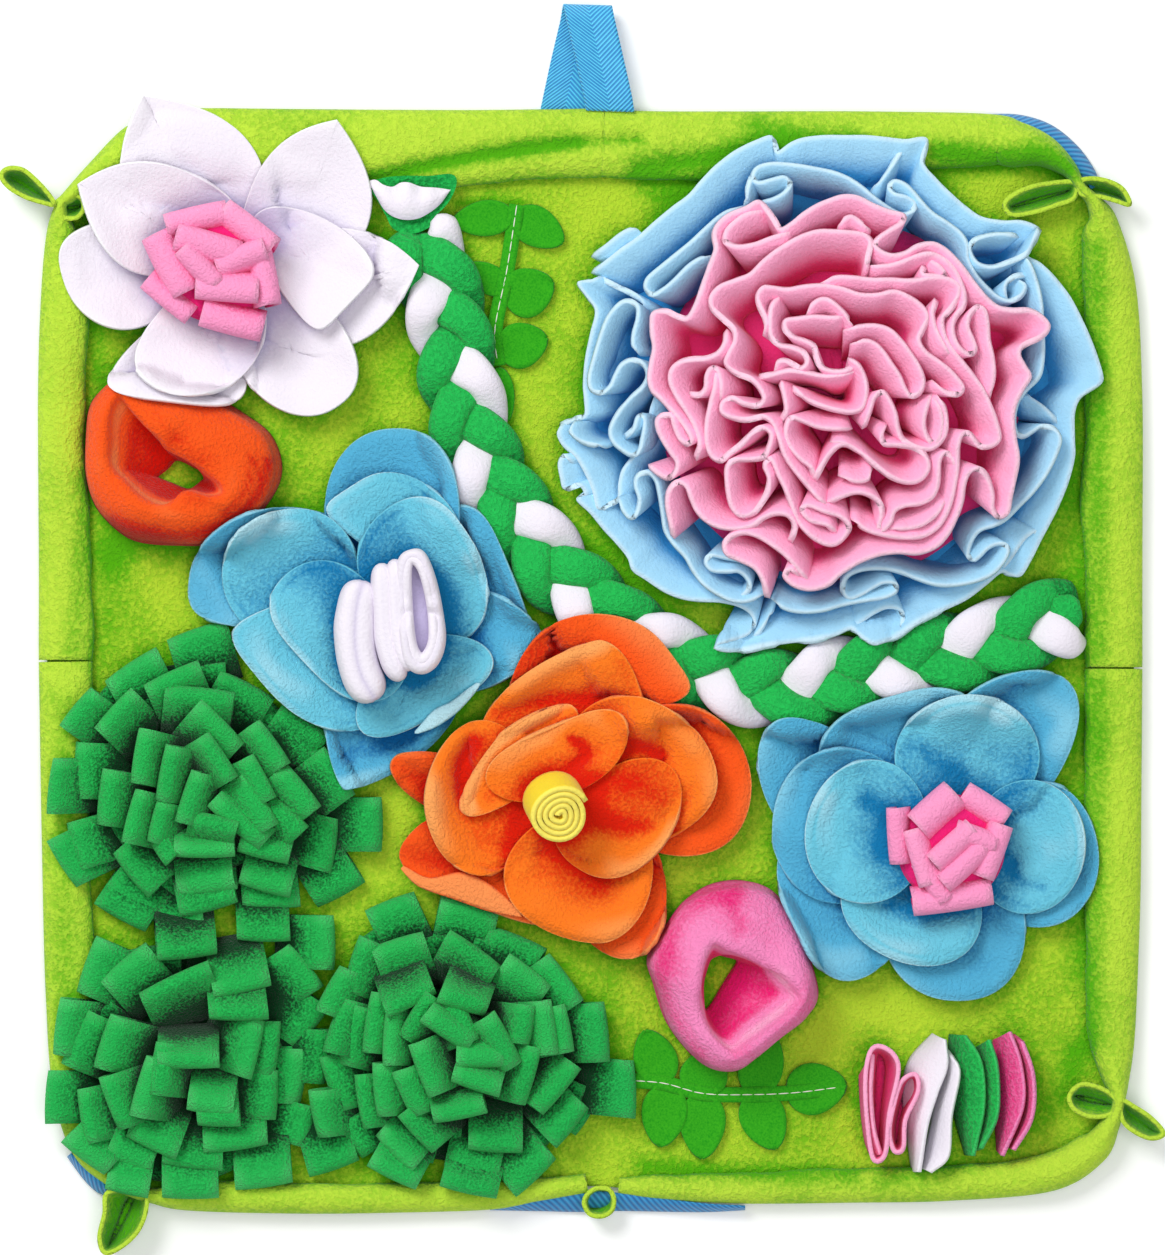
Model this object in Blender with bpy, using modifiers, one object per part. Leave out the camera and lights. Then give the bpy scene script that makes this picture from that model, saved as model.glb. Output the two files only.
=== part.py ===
"""Snuffle mat: a square fleece mat with sewn flowers, bushes, rings, a plait and folded strips.

Sizes in the tables are millimetres. +Z is up, +Y runs to the side that carries the handle,
and the underside of the mat lies on z = 0.
"""
import bpy
import bmesh
import math
import numpy as np

MM = 0.001

# ---- driving dimensions (mm) ----
CLOTH = 2.0                 # fleece
FELT = 1.5                  # felt leaves
WEBBING = 1.5               # polyester webbing
WEBBING_WIDTH = 22.0
BINDING = 1.0               # webbing that shows along the edge
BINDING_FOOT = 0.3
BINDING_TOP = 8.0
STANDING_STRIP = 1.8        # cloth of the folded strips and the ribbon
EDGE_LOOP = 1.6             # cloth of the small loop at the lower edge
SEAT_GAP = 0.7              # upright gap under a piece that lies on another
SEWN_GAP = 0.5              # gap between a standing piece and the base
RING_HEIGHT = 32.0
PLAIT_SIDE = 12.2           # how far a strand swings to each side
PLAIT_LIFT = 4.8            # how far it swings up and down
STRAND_WIDTH = 10.8
STRAND_THICK = 3.2
STRIP_HEIGHT = 22.0         # folded strips standing on edge
RIBBON_HEIGHT = 18.0
PINK_RUFFLE_HEIGHT = 42.0
BLUE_RUFFLE_HEIGHT = 22.0
BUSH_HEIGHT = 30.0
RUFFLE_FOOT_SWING = 1.5     # how far a ruffle's sewn foot swings to each side
BLUE_RUFFLE_RIM_SWING = 3.0
PINK_RUFFLE_START = 0.6     # radians, where the coil begins
PINK_RUFFLE_CROWDING = 0.62     # below 1: folds closer together in the outer coils
LOOP_BUNDLE_HEIGHT = 17.0
PETAL_GRID = 5              # points along and across one petal
CELL = 1.0                  # plan cell of the height map
MAP_HALF = 300.0            # half side of the height map
TIER_SHRINK = 0.30          # a bush: each tier is smaller than the one below by this share
TIER_NOTCH = 0.60           # share of the radius where a tier's teeth begin
TIER_FOOT = 0.52
TIER_WAIST = 0.72
TIER_TOP = 0.16
LEAST_LOBE = 18.0           # smallest reach of a back layer with lobes
LOBED_RINGS = (0.3, 0.68, 1.0)

TOP_OF_BASE = CLOTH
FOOT = CLOTH + SEWN_GAP

COLOURS = {                 # sRGB colour, roughness
    "lime_fleece": ((0.56, 0.78, 0.13), 0.95),
    "leaf_felt": ((0.16, 0.62, 0.15), 0.95),
    "bush_fleece": ((0.12, 0.60, 0.29), 0.95),
    "plait_green_fleece": ((0.10, 0.62, 0.27), 0.95),
    "white_fleece": ((0.91, 0.89, 0.93), 0.95),
    "pink_fleece": ((0.95, 0.50, 0.70), 0.95),
    "rose_pink_fleece": ((0.94, 0.60, 0.76), 0.95),
    "magenta_fleece": ((0.88, 0.22, 0.58), 0.95),
    "sky_fleece": ((0.56, 0.78, 0.91), 0.95),
    "blue_fleece": ((0.30, 0.64, 0.78), 0.95),
    "deep_blue_fleece": ((0.18, 0.50, 0.68), 0.95),
    "orange_fleece": ((0.96, 0.45, 0.16), 0.95),
    "red_orange_fleece": ((0.90, 0.27, 0.09), 0.95),
    "yellow_fleece": ((0.98, 0.86, 0.31), 0.95),
    "blue_webbing": ((0.16, 0.60, 0.84), 0.7),
}

# ---- plan of the mat: outline of the flat base, clockwise from the middle of the left side ----
BASE_OUTLINE = [
    (-244.6, -14.8), (-244.6, 67.3), (-244.2, 149.3), (-241.9, 183.5), (-235.5, 192.7),
    (-223.7, 207.7), (-207.3, 222.3), (-192.7, 228.7),
    (-176.7, 231.9), (-83.2, 231.9), (10.3, 232.3), (99.2, 231.9), (183.5, 231.0), (199.5, 226.9),
    (212.3, 220.5),
    (228.2, 203.1), (239.6, 187.2), (248.7, 153.9), (251.5, 103.7), (251.5, -18.0), (250.6, -124.3),
    (247.8, -188.1),
    (241.5, -220.0), (234.2, -241.0), (212.3, -253.3), (167.6, -257.9), (71.8, -258.8),
    (26.2, -256.5), (8.0, -254.7),
    (-10.3, -256.5), (-37.6, -261.1), (-128.8, -262.9), (-179.0, -261.5), (-197.2, -255.6),
    (-216.4, -250.1), (-231.4, -236.4),
    (-238.3, -210.9), (-241.0, -169.9), (-243.7, -101.5),
]

# ---- border corner pieces: outer line clockwise; flange width, top height, stand (1 = upright ear) ----
BORDER_TOP_LEFT = [
    ((-246.0, -13.9), 21, 13, 0), ((-246.0, 30.8), 20, 14, 0), ((-246.0, 103.7), 18, 15, 0),
    ((-245.6, 149.3), 20, 15, 0),
    ((-244.2, 176.7), 14, 17, 0), ((-242.4, 187.2), 5, 18, 0.5), ((-248.3, 189.5), 2, 20, 1),
    ((-257.4, 195.4), 2, 21, 1),
    ((-263.3, 204.1), 2, 21, 1), ((-259.7, 208.6), 2, 21, 1), ((-251.0, 205.9), 2, 20, 1),
    ((-241.9, 198.1), 2, 19, 1),
    ((-235.1, 198.1), 5, 18, 0.5), ((-224.6, 210.4), 10, 17, 0), ((-208.2, 225.9), 16, 16, 0),
    ((-192.7, 231.4), 22, 15, 0),
    ((-176.7, 234.2), 28, 14, 0), ((-128.8, 233.7), 31, 13, 0), ((-60.4, 233.7), 31, 14, 0),
    ((9.3, 234.6), 29, 14, 0),
]
BORDER_TOP_RIGHT = [
    ((11.2, 234.6), 29, 14, 0), ((53.6, 233.2), 29, 14, 0), ((122.0, 233.2), 27, 15, 0),
    ((183.5, 232.8), 22, 16, 0),
    ((199.5, 228.7), 18, 17, 0), ((213.2, 221.8), 12, 18, 0), ((224.6, 210.4), 6, 19, 0),
    ((228.7, 205.4), 3, 20, 0.7),
    ((236.0, 205.9), 2, 21, 1), ((243.3, 202.2), 2, 21, 1), ((249.2, 196.3), 2, 21, 1),
    ((245.6, 193.6), 2, 21, 1),
    ((238.7, 197.2), 2, 20, 1), ((232.8, 199.0), 3, 19, 0.7), ((236.4, 192.2), 8, 18, 0),
    ((241.9, 183.5), 16, 17, 0),
    ((250.6, 149.3), 22, 15, 0), ((253.3, 94.6), 24, 14, 0), ((253.3, 39.9), 24, 14, 0),
    ((253.3, -17.1), 24, 13, 0),
]
BORDER_BOTTOM_RIGHT = [
    ((253.3, -18.9), 24, 13, 0), ((252.9, -78.7), 22, 14, 0), ((252.4, -124.3), 22, 15, 0),
    ((250.1, -183.5), 20, 16, 0),
    ((246.9, -206.3), 10, 17, 0), ((246.9, -214.1), 3, 18, 0.7), ((253.3, -215.9), 2, 20, 1),
    ((260.6, -221.4), 2, 20, 1),
    ((264.7, -228.7), 2, 20, 1), ((261.5, -231.4), 2, 20, 1), ((254.7, -227.8), 2, 20, 1),
    ((246.5, -221.4), 3, 19, 0.7),
    ((243.7, -229.1), 8, 17, 0), ((236.9, -242.8), 13, 16, 0), ((214.1, -255.1), 15, 15, 0),
    ((167.6, -259.7), 14, 14, 0),
    ((122.0, -260.6), 13, 13, 0), ((71.8, -261.1), 12, 13, 0), ((35.3, -259.2), 9, 13, 0),
    ((18.0, -256.5), 6, 13, 0),
]
BORDER_BOTTOM_LEFT = [
    ((-2.1, -256.5), 7, 13, 0), ((-19.4, -259.7), 9, 13, 0), ((-42.2, -263.8), 11, 13, 0),
    ((-83.2, -265.2), 11, 14, 0),
    ((-128.8, -265.6), 12, 14, 0), ((-179.0, -264.3), 11, 15, 0), ((-193.6, -261.1), 5, 17, 0.5),
    ((-197.2, -263.3), 2, 19, 1),
    ((-200.4, -271.1), 2, 19, 1), ((-210.0, -280.7), 2, 19, 1), ((-216.8, -284.3), 2, 18, 1),
    ((-218.7, -280.2), 2, 18, 1),
    ((-215.5, -271.1), 2, 19, 1), ((-205.9, -260.1), 3, 18, 0.7), ((-216.4, -252.9), 8, 16, 0),
    ((-232.3, -239.2), 13, 15, 0),
    ((-240.5, -210.9), 17, 14, 0), ((-243.3, -169.9), 19, 14, 0), ((-245.1, -101.5), 20, 14, 0),
    ((-246.0, -15.7), 21, 13, 0),
]
BORDER_FLANGE = [           # inward reach (share of the flange width), height (share of the top height)
    (0.42, 0.0), (0.0, 0.38), (0.16, 0.93), (1.0, 1.0),
]
BORDER_UPRIGHT = [0.12, 0.40, 0.70, 1.0]    # heights of the same four rows where the cloth stands as an ear

# ---- webbing ----
HANDLE_LINE = [             # plan point on the middle of the webbing, height of the middle, yaw (deg)
    ((-8.9, 233.1), 1.0, 2), ((-3.4, 257.9), 1.2, 3), ((1.1, 277.0), 1.6, 4), ((2.1, 282.9), 4.6, 4),
    ((2.5, 283.4), 8.6, 3), ((3.4, 277.9), 11.4, 2), ((8.0, 257.9), 12.0, 0), ((12.5, 235.3), 9.0, 0),
]
BAND_TOP_RIGHT = [          # foot line on the table, upper line against the border
    ((177.6, 236.0), (177.6, 234.4)), ((191.3, 236.0), (190.4, 233.9)), ((207.7, 232.3), (204.5, 228.7)),
    ((221.4, 223.2), (216.8, 221.4)), ((228.7, 215.0), (225.5, 213.2)), ((232.3, 208.6), (229.6, 208.2)),
]
BAND_BOTTOM = [
    ((-41.3, -266.5), (-41.3, -265.4)), ((-19.4, -267.4), (-19.4, -261.5)),
    ((-2.1, -267.0), (-2.1, -263.8)),
    ((26.2, -267.0), (26.2, -263.8)), ((49.0, -266.1), (49.0, -262.4)), ((72.7, -263.8), (72.7, -263.1)),
]
BAND_BOTTOM_LEFT = [
    ((-234.6, -241.9), (-233.2, -240.3)), ((-225.5, -251.9), (-222.8, -248.5)),
    ((-218.2, -256.5), (-216.4, -254.0)),
]

# ---- edge loop at the middle of the bottom side ----
EDGE_LOOP_CENTRE = (8.0, -256.5)
EDGE_LOOP_HALF = (5.4, 5.6)
EDGE_LOOP_HEIGHT = 11.0

# ---- felt sprigs: stem line, then leaves as base point, tip point, width ----
SPRIG_TOP_STEM = [(-29.9, 192.7), (-34.4, 163.0), (-39.9, 135.7), (-38.5, 119.2)]
SPRIG_TOP_LEAVES = [
    ((-32.1, 184.9), (-54.9, 186.3), 13.7), ((-31.2, 184.0), (-8.4, 175.3), 13.7),
    ((-34.4, 153.0), (-50.4, 166.7), 11.4),
    ((-36.3, 148.4), (-13.9, 160.3), 16.4), ((-39.0, 125.6), (-16.2, 132.0), 15.5),
    ((-38.5, 118.3), (-34.4, 94.2), 10.9),
]
SPRIG_BOTTOM_STEM = [(23.5, -206.3), (37.6, -207.7), (55.4, -212.3), (77.7, -212.7), (97.4, -211.8)]
SPRIG_BOTTOM_LEAVES = [
    ((36.7, -208.2), (28.5, -184.5), 13.7), ((39.0, -209.1), (26.7, -234.6), 15.5),
    ((54.5, -213.2), (60.0, -195.4), 19.2),
    ((55.9, -212.7), (55.4, -241.9), 16.4), ((78.7, -212.7), (86.0, -186.7), 15.5),
    ((77.3, -212.7), (89.6, -236.9), 15.5),
    ((93.7, -211.8), (118.8, -209.1), 21.0),
]
SPRIG_STEM_WIDTH = 7.3
SPRIG_LEAF_ROOT = 6.0       # stem points nearer than this to a leaf are left out

# ---- plait centre line ----
PLAIT_LINE = [
    (-79.6, 196.8), (-71.8, 174.4), (-62.7, 149.3), (-55.9, 117.4), (-45.8, 76.4), (-28.5, 49.0),
    (-10.3, 23.9), (8.0, 7.1),
    (30.8, -8.0), (62.7, -24.9), (94.6, -28.5), (122.0, -21.2), (153.9, -13.9), (181.3, -6.6),
    (204.1, 2.5), (220.5, 6.6),
]
PLAIT_TURNS = 8
PLAIT_STATIONS_PER_TURN = 6            # stations in one full swing

# ---- stubby rings: outline radius and wall thickness at the rim, every 30 degrees from +X ----
ORANGE_RING_CENTRE = (-183.1, 73.6)
ORANGE_RING_OUTLINE = [42.9, 41.0, 33.7, 30.1, 35.6, 41.0, 42.0, 38.3, 36.5, 34.7, 33.7, 38.3]
ORANGE_RING_WALL = [10, 12, 12, 9, 8, 8, 8, 8, 9, 9, 9, 10]
ORANGE_RING_LEAN = (-4.0, -3.0)
PINK_RING_CENTRE = (68.6, -160.7)
PINK_RING_OUTLINE = [35.6, 34.7, 38.3, 41.0, 40.1, 36.5, 35.6, 34.7, 38.3, 40.1, 34.7, 34.7]
PINK_RING_WALL = [9, 9, 10, 11, 10, 8, 7, 7, 8, 8, 8, 8]
PINK_RING_LEAN = (1.0, -1.0)
RING_FOOT_SHARE = 0.93
RING_POINTS = 16

# ---- green bushes: outline radius every 30 degrees from +X ----
BUSH_LEFT_CENTRE = (-167.6, -69.5)
BUSH_LEFT_OUTLINE = [68.4, 51.1, 42.0, 66.6, 72.0, 73.9, 73.0, 72.0, 63.8, 62.9, 62.0, 66.6]
BUSH_BOTTOM_LEFT_CENTRE = (-187.2, -198.1)
BUSH_BOTTOM_LEFT_OUTLINE = [58.4, 61.1, 63.8, 61.1, 59.3, 56.5, 54.7, 60.2, 59.3, 57.5, 59.3, 60.2]
BUSH_BOTTOM_CENTRE = (-56.8, -189.0)
BUSH_BOTTOM_OUTLINE = [77.5, 72.0, 58.4, 62.0, 68.4, 68.4, 62.9, 64.8, 67.0, 67.5, 69.0, 75.0]
BUSH_TEETH = 11
BUSH_TIERS = 3
LOOP_NOTCH = 0.86           # reach between two loops, as a share of a loop's reach

# ---- folded strips: plan line of each, height ----
STRIP_PINK = [
    (131.1, -192.7), (129.7, -215.5), (132.0, -238.3), (137.5, -239.6), (137.5, -216.4),
    (137.5, -196.3), (143.0, -195.4),
    (144.8, -215.5), (144.8, -238.3),
]
STRIP_WHITE = [
    (151.2, -244.2), (152.5, -215.5), (150.3, -189.9), (156.2, -188.1), (159.4, -215.5),
    (158.5, -244.6), (163.9, -242.8),
    (166.2, -215.5), (164.4, -190.8),
]
STRIP_GREEN = [
    (170.8, -186.7), (172.6, -213.2), (171.2, -238.3), (176.7, -239.6), (179.4, -213.2),
    (177.2, -186.3), (182.6, -187.2),
    (185.8, -213.2), (184.0, -237.3),
]
STRIP_MAGENTA = [
    (190.8, -186.3), (192.2, -213.2), (190.4, -237.3), (195.9, -238.3), (198.6, -213.2),
    (195.9, -187.2), (201.3, -188.1),
    (204.5, -213.2), (201.3, -234.6),
]

# ---- big ruffled flower ----
PINK_RUFFLE_CENTRE = (118.3, 104.7)
BLUE_RUFFLE_CENTRE = (112.4, 105.6)
PINK_RUFFLE_FOLDS = 28
PINK_RUFFLE_COILS = 3.4
PINK_RUFFLE_FOOT = (5.0, 51.0)      # foot radius at the inner and the outer end of the coil
PINK_RUFFLE_TOP = (8.0, 80.0)      # top radius there
PINK_RUFFLE_SWING = (4.0, 10.0)     # how far the folds swing there
BLUE_RUFFLE_FOLDS = 14
BLUE_RUFFLE_FOOT = 64.0
BLUE_RUFFLE_EDGE = 108.0
BLUE_RUFFLE_SWING = 12.0

# ---- petals: base point, tip point, width, foot height, tip height, edge lift, point (1 = sharp) ----
WHITE_PETALS = {
    "petal_white_back_upper": ((-166.2, 172.1), (-198.6, 240.1), 51.1, 4, 12, 3, 0.9),
    "petal_white_back_upper_right": ((-157.1, 169.9), (-111.5, 227.3), 47.4, 5, 14, 3, 0.9),
    "petal_white_back_left": ((-174.4, 154.8), (-236.4, 175.3), 45.6, 5, 10, 3, 0.9),
    "petal_white_back_bottom": ((-172.1, 149.3), (-198.1, 111.0), 47.4, 5, 9, 2, 0.5),
    "petal_white_back_right": ((-153.9, 153.9), (-75.5, 163.0), 49.2, 5, 12, 3, 0.9),
    "petal_white_back_lower_right": ((-151.6, 147.1), (-106.0, 102.4), 47.4, 5, 10, 3, 0.65),
    "petal_white_front_left": ((-161.7, 166.7), (-227.3, 202.2), 51.1, 9, 18, 5, 0.9),
    "petal_white_front_right": ((-158.0, 160.7), (-96.4, 160.3), 56.5, 9, 20, 6, 0.9),
    "petal_white_front_bottom": ((-168.9, 149.3), (-171.7, 107.4), 56.5, 9, 16, 6, 0.5),
}
BLUE_PETALS = {
    "petal_blue_front_top": ((-88.7, 9.8), (-86.4, 72.3), 56.5, 7, 14, 3, 0.0),
    "petal_blue_front_right": ((-88.7, 4.3), (-54.5, 50.8), 58.4, 8, 16, 4, 0.0),
    "petal_blue_front_upper_left": ((-97.8, 7.1), (-163.0, 23.5), 54.7, 7, 14, 3, 0.0),
    "petal_blue_front_lower_left": ((-96.0, -2.1), (-150.7, -28.5), 52.9, 7, 14, 3, 0.0),
    "petal_blue_front_bottom": ((-85.0, -3.0), (-63.2, -48.1), 58.4, 8, 18, 6, 0.0),
    "petal_blue_front_middle_left": ((-96.0, 2.5), (-141.6, -6.6), 47.4, 10, 18, 5, 0.0),
}
ORANGE_PETALS = {
    "petal_orange_front_top": ((-5.7, -69.5), (-3.9, -6.6), 69.3, 7, 16, 4, 0.0),
    "petal_orange_front_left": ((-14.8, -81.4), (-73.6, -82.3), 66.6, 7, 16, 5, 0.0),
    "petal_orange_front_lower_right": ((-5.7, -81.4), (39.0, -100.5), 52.0, 8, 16, 4, 0.0),
    "petal_orange_front_right": ((0.7, -75.0), (57.2, -59.5), 62.9, 8, 18, 5, 0.0),
    "petal_orange_front_bottom": ((-7.5, -88.7), (-2.1, -141.6), 63.8, 8, 14, 4, 0.0),
    "petal_orange_inner_left": ((-13.9, -84.1), (-54.0, -65.9), 47.4, 10, 22, 6, 0.0),
    "petal_orange_inner_top": ((-8.4, -81.4), (-15.7, -36.7), 57.5, 11, 24, 6, 0.0),
}
LIGHT_BLUE_PETALS = {
    "petal_light_blue_front_right": ((177.6, -99.6), (228.2, -101.0), 58.4, 7, 14, 4, 0.0),
    "petal_light_blue_front_top": ((169.9, -84.1), (175.8, -29.4), 64.8, 8, 16, 4, 0.0),
    "petal_light_blue_front_left": ((157.5, -96.0), (101.5, -92.8), 63.8, 8, 16, 4, 0.0),
    "petal_light_blue_front_bottom": ((159.4, -106.9), (146.6, -153.4), 62.9, 8, 14, 4, 0.0),
}

# ---- lobed back layers: flower centre, then round lobes as centre and radius ----
BLUE_BACK_CENTRE = (-90.1, 2.5)
BLUE_BACK_LOBES = [
    ((-85.0, 58.1), 30.6), ((-146.1, 20.7), 26.4), ((-59.5, 27.1), 31.0), ((-46.7, -5.7), 27.8),
    ((-96.0, -39.0), 31.0),
]
ORANGE_BACK_CENTRE = (-4.8, -78.7)
ORANGE_BACK_LOBES = [
    ((10.7, -29.4), 34.7), ((-59.5, -76.8), 26.4), ((44.5, -68.6), 31.9), ((10.7, -124.3), 24.6),
    ((-47.7, -95.1), 30.1),
]
LIGHT_BLUE_BACK_CENTRE = (165.3, -97.8)
LIGHT_BLUE_BACK_LOBES = [
    ((115.6, -90.5), 30.1), ((135.7, -59.5), 30.1), ((106.5, -65.9), 23.7), ((197.2, -51.3), 30.6),
    ((204.1, -101.5), 30.6),
    ((169.9, -140.2), 30.6), ((125.6, -127.0), 28.3),
]
LOBED_POINTS = 30
LOBED_FOOT = 3.2
LOBED_RIM = 9.0

# ---- bundles of pink loops, white ribbon, yellow roll ----
WHITE_FLOWER_BUNDLE = (-165.3, 162.1)
WHITE_FLOWER_BUNDLE_RADII = [33.7, 27.4, 26.4, 25.5, 26.4, 32.8, 36.5, 30.1, 26.4, 25.5, 26.4, 30.1]
LIGHT_BLUE_BUNDLE = (164.8, -96.9)
LIGHT_BLUE_BUNDLE_RADII = [30.1, 27.4, 30.1, 33.7, 28.3, 27.4, 28.3, 27.4, 29.2, 32.8, 29.2, 27.4]
BUNDLE_TEETH = 8
RIBBON_CENTRE = (-86.0, -1.1)
RIBBON_LEGS = 7
RIBBON_PITCH = 6.6
RIBBON_LEG = 44.0
RIBBON_TILT = 10.0
ROLL_CENTRE = (-10.3, -75.9)
ROLL_RADIUS = 11.5
ROLL_LENGTH = 20.0
ROLL_TURNS = 2.4
ROLL_PITCH = 3.6
ROLL_LEAN = 32.0


# ------------------------------------------------------------------ scene, materials, mesh helpers

def clear_scene():
    for item in list(bpy.data.objects):
        bpy.data.objects.remove(item, do_unlink=True)


def to_linear(value):
    return value / 12.92 if value <= 0.04045 else ((value + 0.055) / 1.055) ** 2.4


def make_material(name):
    srgb, roughness = COLOURS[name]
    material = bpy.data.materials.new(name)
    material.use_nodes = True
    shader = material.node_tree.nodes["Principled BSDF"]
    shader.inputs["Base Color"].default_value = [to_linear(c) for c in srgb] + [1.0]
    shader.inputs["Roughness"].default_value = roughness
    shader.inputs["Metallic"].default_value = 0.0
    return material


clear_scene()
MAT_PARTS = bpy.data.collections.new("snuffle_mat")
bpy.context.scene.collection.children.link(MAT_PARTS)
MATERIALS = {name: make_material(name) for name in COLOURS}


def mesh_object(name, vertices, faces, material, smooth=True):
    """One object from vertices in millimetres; normals are made to agree."""
    mesh = bpy.data.meshes.new(name)
    mesh.from_pydata((np.asarray(vertices, float) * MM).tolist(), [], faces)
    mesh.update()
    mesh.materials.append(MATERIALS[material])
    mesh.polygons.foreach_set("use_smooth", [smooth] * len(mesh.polygons))
    item = bpy.data.objects.new(name, mesh)
    MAT_PARTS.objects.link(item)
    return item


def grid_faces(rows, columns, wrap_rows=False, wrap_columns=False):
    """Quads of a rows x columns grid of points, numbered row by row."""
    row_steps = rows if wrap_rows else rows - 1
    column_steps = columns if wrap_columns else columns - 1
    faces = []
    for i in range(row_steps):
        for j in range(column_steps):
            below, right = (i + 1) % rows, (j + 1) % columns
            faces.append((i * columns + j, below * columns + j, below * columns + right, i * columns + right))
    return faces


def thicken(item, thickness, side):
    """Live thickness; side is +1 along the face normals, -1 against them, 0 both ways."""
    solid = item.modifiers.new("cloth_thickness", "SOLIDIFY")
    solid.thickness = thickness * MM
    solid.offset = side
    return item


def smooth_line(points, steps, closed=False):
    """Catmull-Rom line through a short table of points, with a few steps to each span."""
    table = np.asarray(points, float)
    if closed:
        padded = np.vstack([table[-1], table, table[0], table[1]])
    else:
        padded = np.vstack([2 * table[0] - table[1], table, 2 * table[-1] - table[-2]])
    out = []
    for i in range(1, len(padded) - 2):
        a, b, c, d = padded[i - 1], padded[i], padded[i + 1], padded[i + 2]
        for t in np.linspace(0, 1, steps, endpoint=False):
            out.append(0.5 * (2 * b + (c - a) * t + (2 * a - 5 * b + 4 * c - d) * t ** 2
                              + (3 * b - a - 3 * c + d) * t ** 3))
    if not closed:
        out.append(table[-1])
    return np.array(out)


def unit_normals(line, closed=False):
    """Unit normals to the right of a plan line."""
    if closed:
        run = np.roll(line, -1, axis=0) - np.roll(line, 1, axis=0)
    else:
        run = np.gradient(line, axis=0)
    run = run / np.linalg.norm(run, axis=1, keepdims=True)
    return np.stack([run[:, 1], -run[:, 0]], axis=1)


def around(table, angles):
    """Values of a table that goes evenly once round, at the given angles, blended smoothly."""
    table = np.asarray(table, float)
    place = np.mod(angles, 2 * np.pi) / (2 * np.pi) * len(table)
    low = np.floor(place).astype(int) % len(table)
    share = place - np.floor(place)
    share = share * share * (3 - 2 * share)
    return table[low] * (1 - share) + table[(low + 1) % len(table)] * share


# ------------------------------------------------------------------ height map of what already lies there

CELLS = int(2 * MAP_HALF / CELL)
HEIGHT = np.zeros((CELLS, CELLS))


def world_triangles(item):
    """Triangles of the finished form of an object, in millimetres."""
    bpy.context.view_layer.update()
    finished = item.evaluated_get(bpy.context.evaluated_depsgraph_get())
    mesh = finished.to_mesh()
    mesh.calc_loop_triangles()
    points = np.empty(len(mesh.vertices) * 3)
    mesh.vertices.foreach_get("co", points)
    corners = np.empty(len(mesh.loop_triangles) * 3, dtype=np.int32)
    mesh.loop_triangles.foreach_get("vertices", corners)
    turn = np.array(item.matrix_world)
    points = points.reshape(-1, 3) @ turn[:3, :3].T + turn[:3, 3]
    finished.to_mesh_clear()
    return (points / MM)[corners.reshape(-1, 3)]


def covered_cells(triangles):
    """Row, column and height of each triangle at every cell centre that it covers in plan."""
    rows, columns, heights = [], [], []
    for a, b, c in triangles:
        area = (b[0] - a[0]) * (c[1] - a[1]) - (b[1] - a[1]) * (c[0] - a[0])
        if abs(area) < 1e-6:
            continue
        low = np.minimum(np.minimum(a, b), c)[:2]
        high = np.maximum(np.maximum(a, b), c)[:2]
        first = np.ceil((low + MAP_HALF) / CELL - 0.5).astype(int)
        last = np.floor((high + MAP_HALF) / CELL - 0.5).astype(int)
        if (last < first).any():
            continue
        xs = np.arange(first[0], last[0] + 1)
        ys = np.arange(first[1], last[1] + 1)
        grid_x, grid_y = np.meshgrid(xs, ys)
        px = (grid_x + 0.5) * CELL - MAP_HALF
        py = (grid_y + 0.5) * CELL - MAP_HALF
        w_b = ((px - a[0]) * (c[1] - a[1]) - (py - a[1]) * (c[0] - a[0])) / area
        w_c = ((b[0] - a[0]) * (py - a[1]) - (b[1] - a[1]) * (px - a[0])) / area
        inside = (w_b >= -1e-9) & (w_c >= -1e-9) & (w_b + w_c <= 1 + 1e-9)
        rows.append(grid_y[inside])
        columns.append(grid_x[inside])
        heights.append((a[2] + w_b * (b[2] - a[2]) + w_c * (c[2] - a[2]))[inside])
    return np.concatenate(rows), np.concatenate(columns), np.concatenate(heights)


def lay_down(item, gap=SEAT_GAP, seat=True):
    """Moves a piece up or down until it just clears what lies under it, then adds it to the map."""
    rows, columns, heights = covered_cells(world_triangles(item))
    lift = 0.0
    if seat:
        lowest = np.full(HEIGHT.shape, np.inf)
        np.minimum.at(lowest, (rows, columns), heights)
        lift = gap - (lowest - HEIGHT).min()
        item.location.z += lift * MM
    np.maximum.at(HEIGHT, (rows, columns), heights + lift)
    return item


def height_under(x, y, reach):
    """Highest cloth within a small square round each plan point."""
    column = np.clip(((x + MAP_HALF) / CELL).astype(int), 0, CELLS - 1)
    row = np.clip(((y + MAP_HALF) / CELL).astype(int), 0, CELLS - 1)
    best = np.zeros(x.shape)
    for dy in range(-reach, reach + 1, 2):
        for dx in range(-reach, reach + 1, 2):
            best = np.maximum(best, HEIGHT[np.clip(row + dy, 0, CELLS - 1), np.clip(column + dx, 0, CELLS - 1)])
    return best


def drape(x, y, wished, reach, wrap=False):
    """Height of a sheet that wants one form and is lifted smoothly over what lies under it."""
    needed = np.maximum(height_under(x, y, reach) + SEAT_GAP - wished, 0.0)
    lift = needed.copy()
    for _ in range(40):
        padded = np.pad(lift, 1, mode="edge")
        if wrap:
            padded[:, 0], padded[:, -1] = padded[:, -2], padded[:, 1]
        mean = (padded[:-2, 1:-1] + padded[2:, 1:-1] + padded[1:-1, :-2] + padded[1:-1, 2:]) / 4
        lift = np.maximum(needed, 0.6 * lift + 0.4 * mean)
    return wished + lift


# ------------------------------------------------------------------ kinds of pieces

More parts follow.
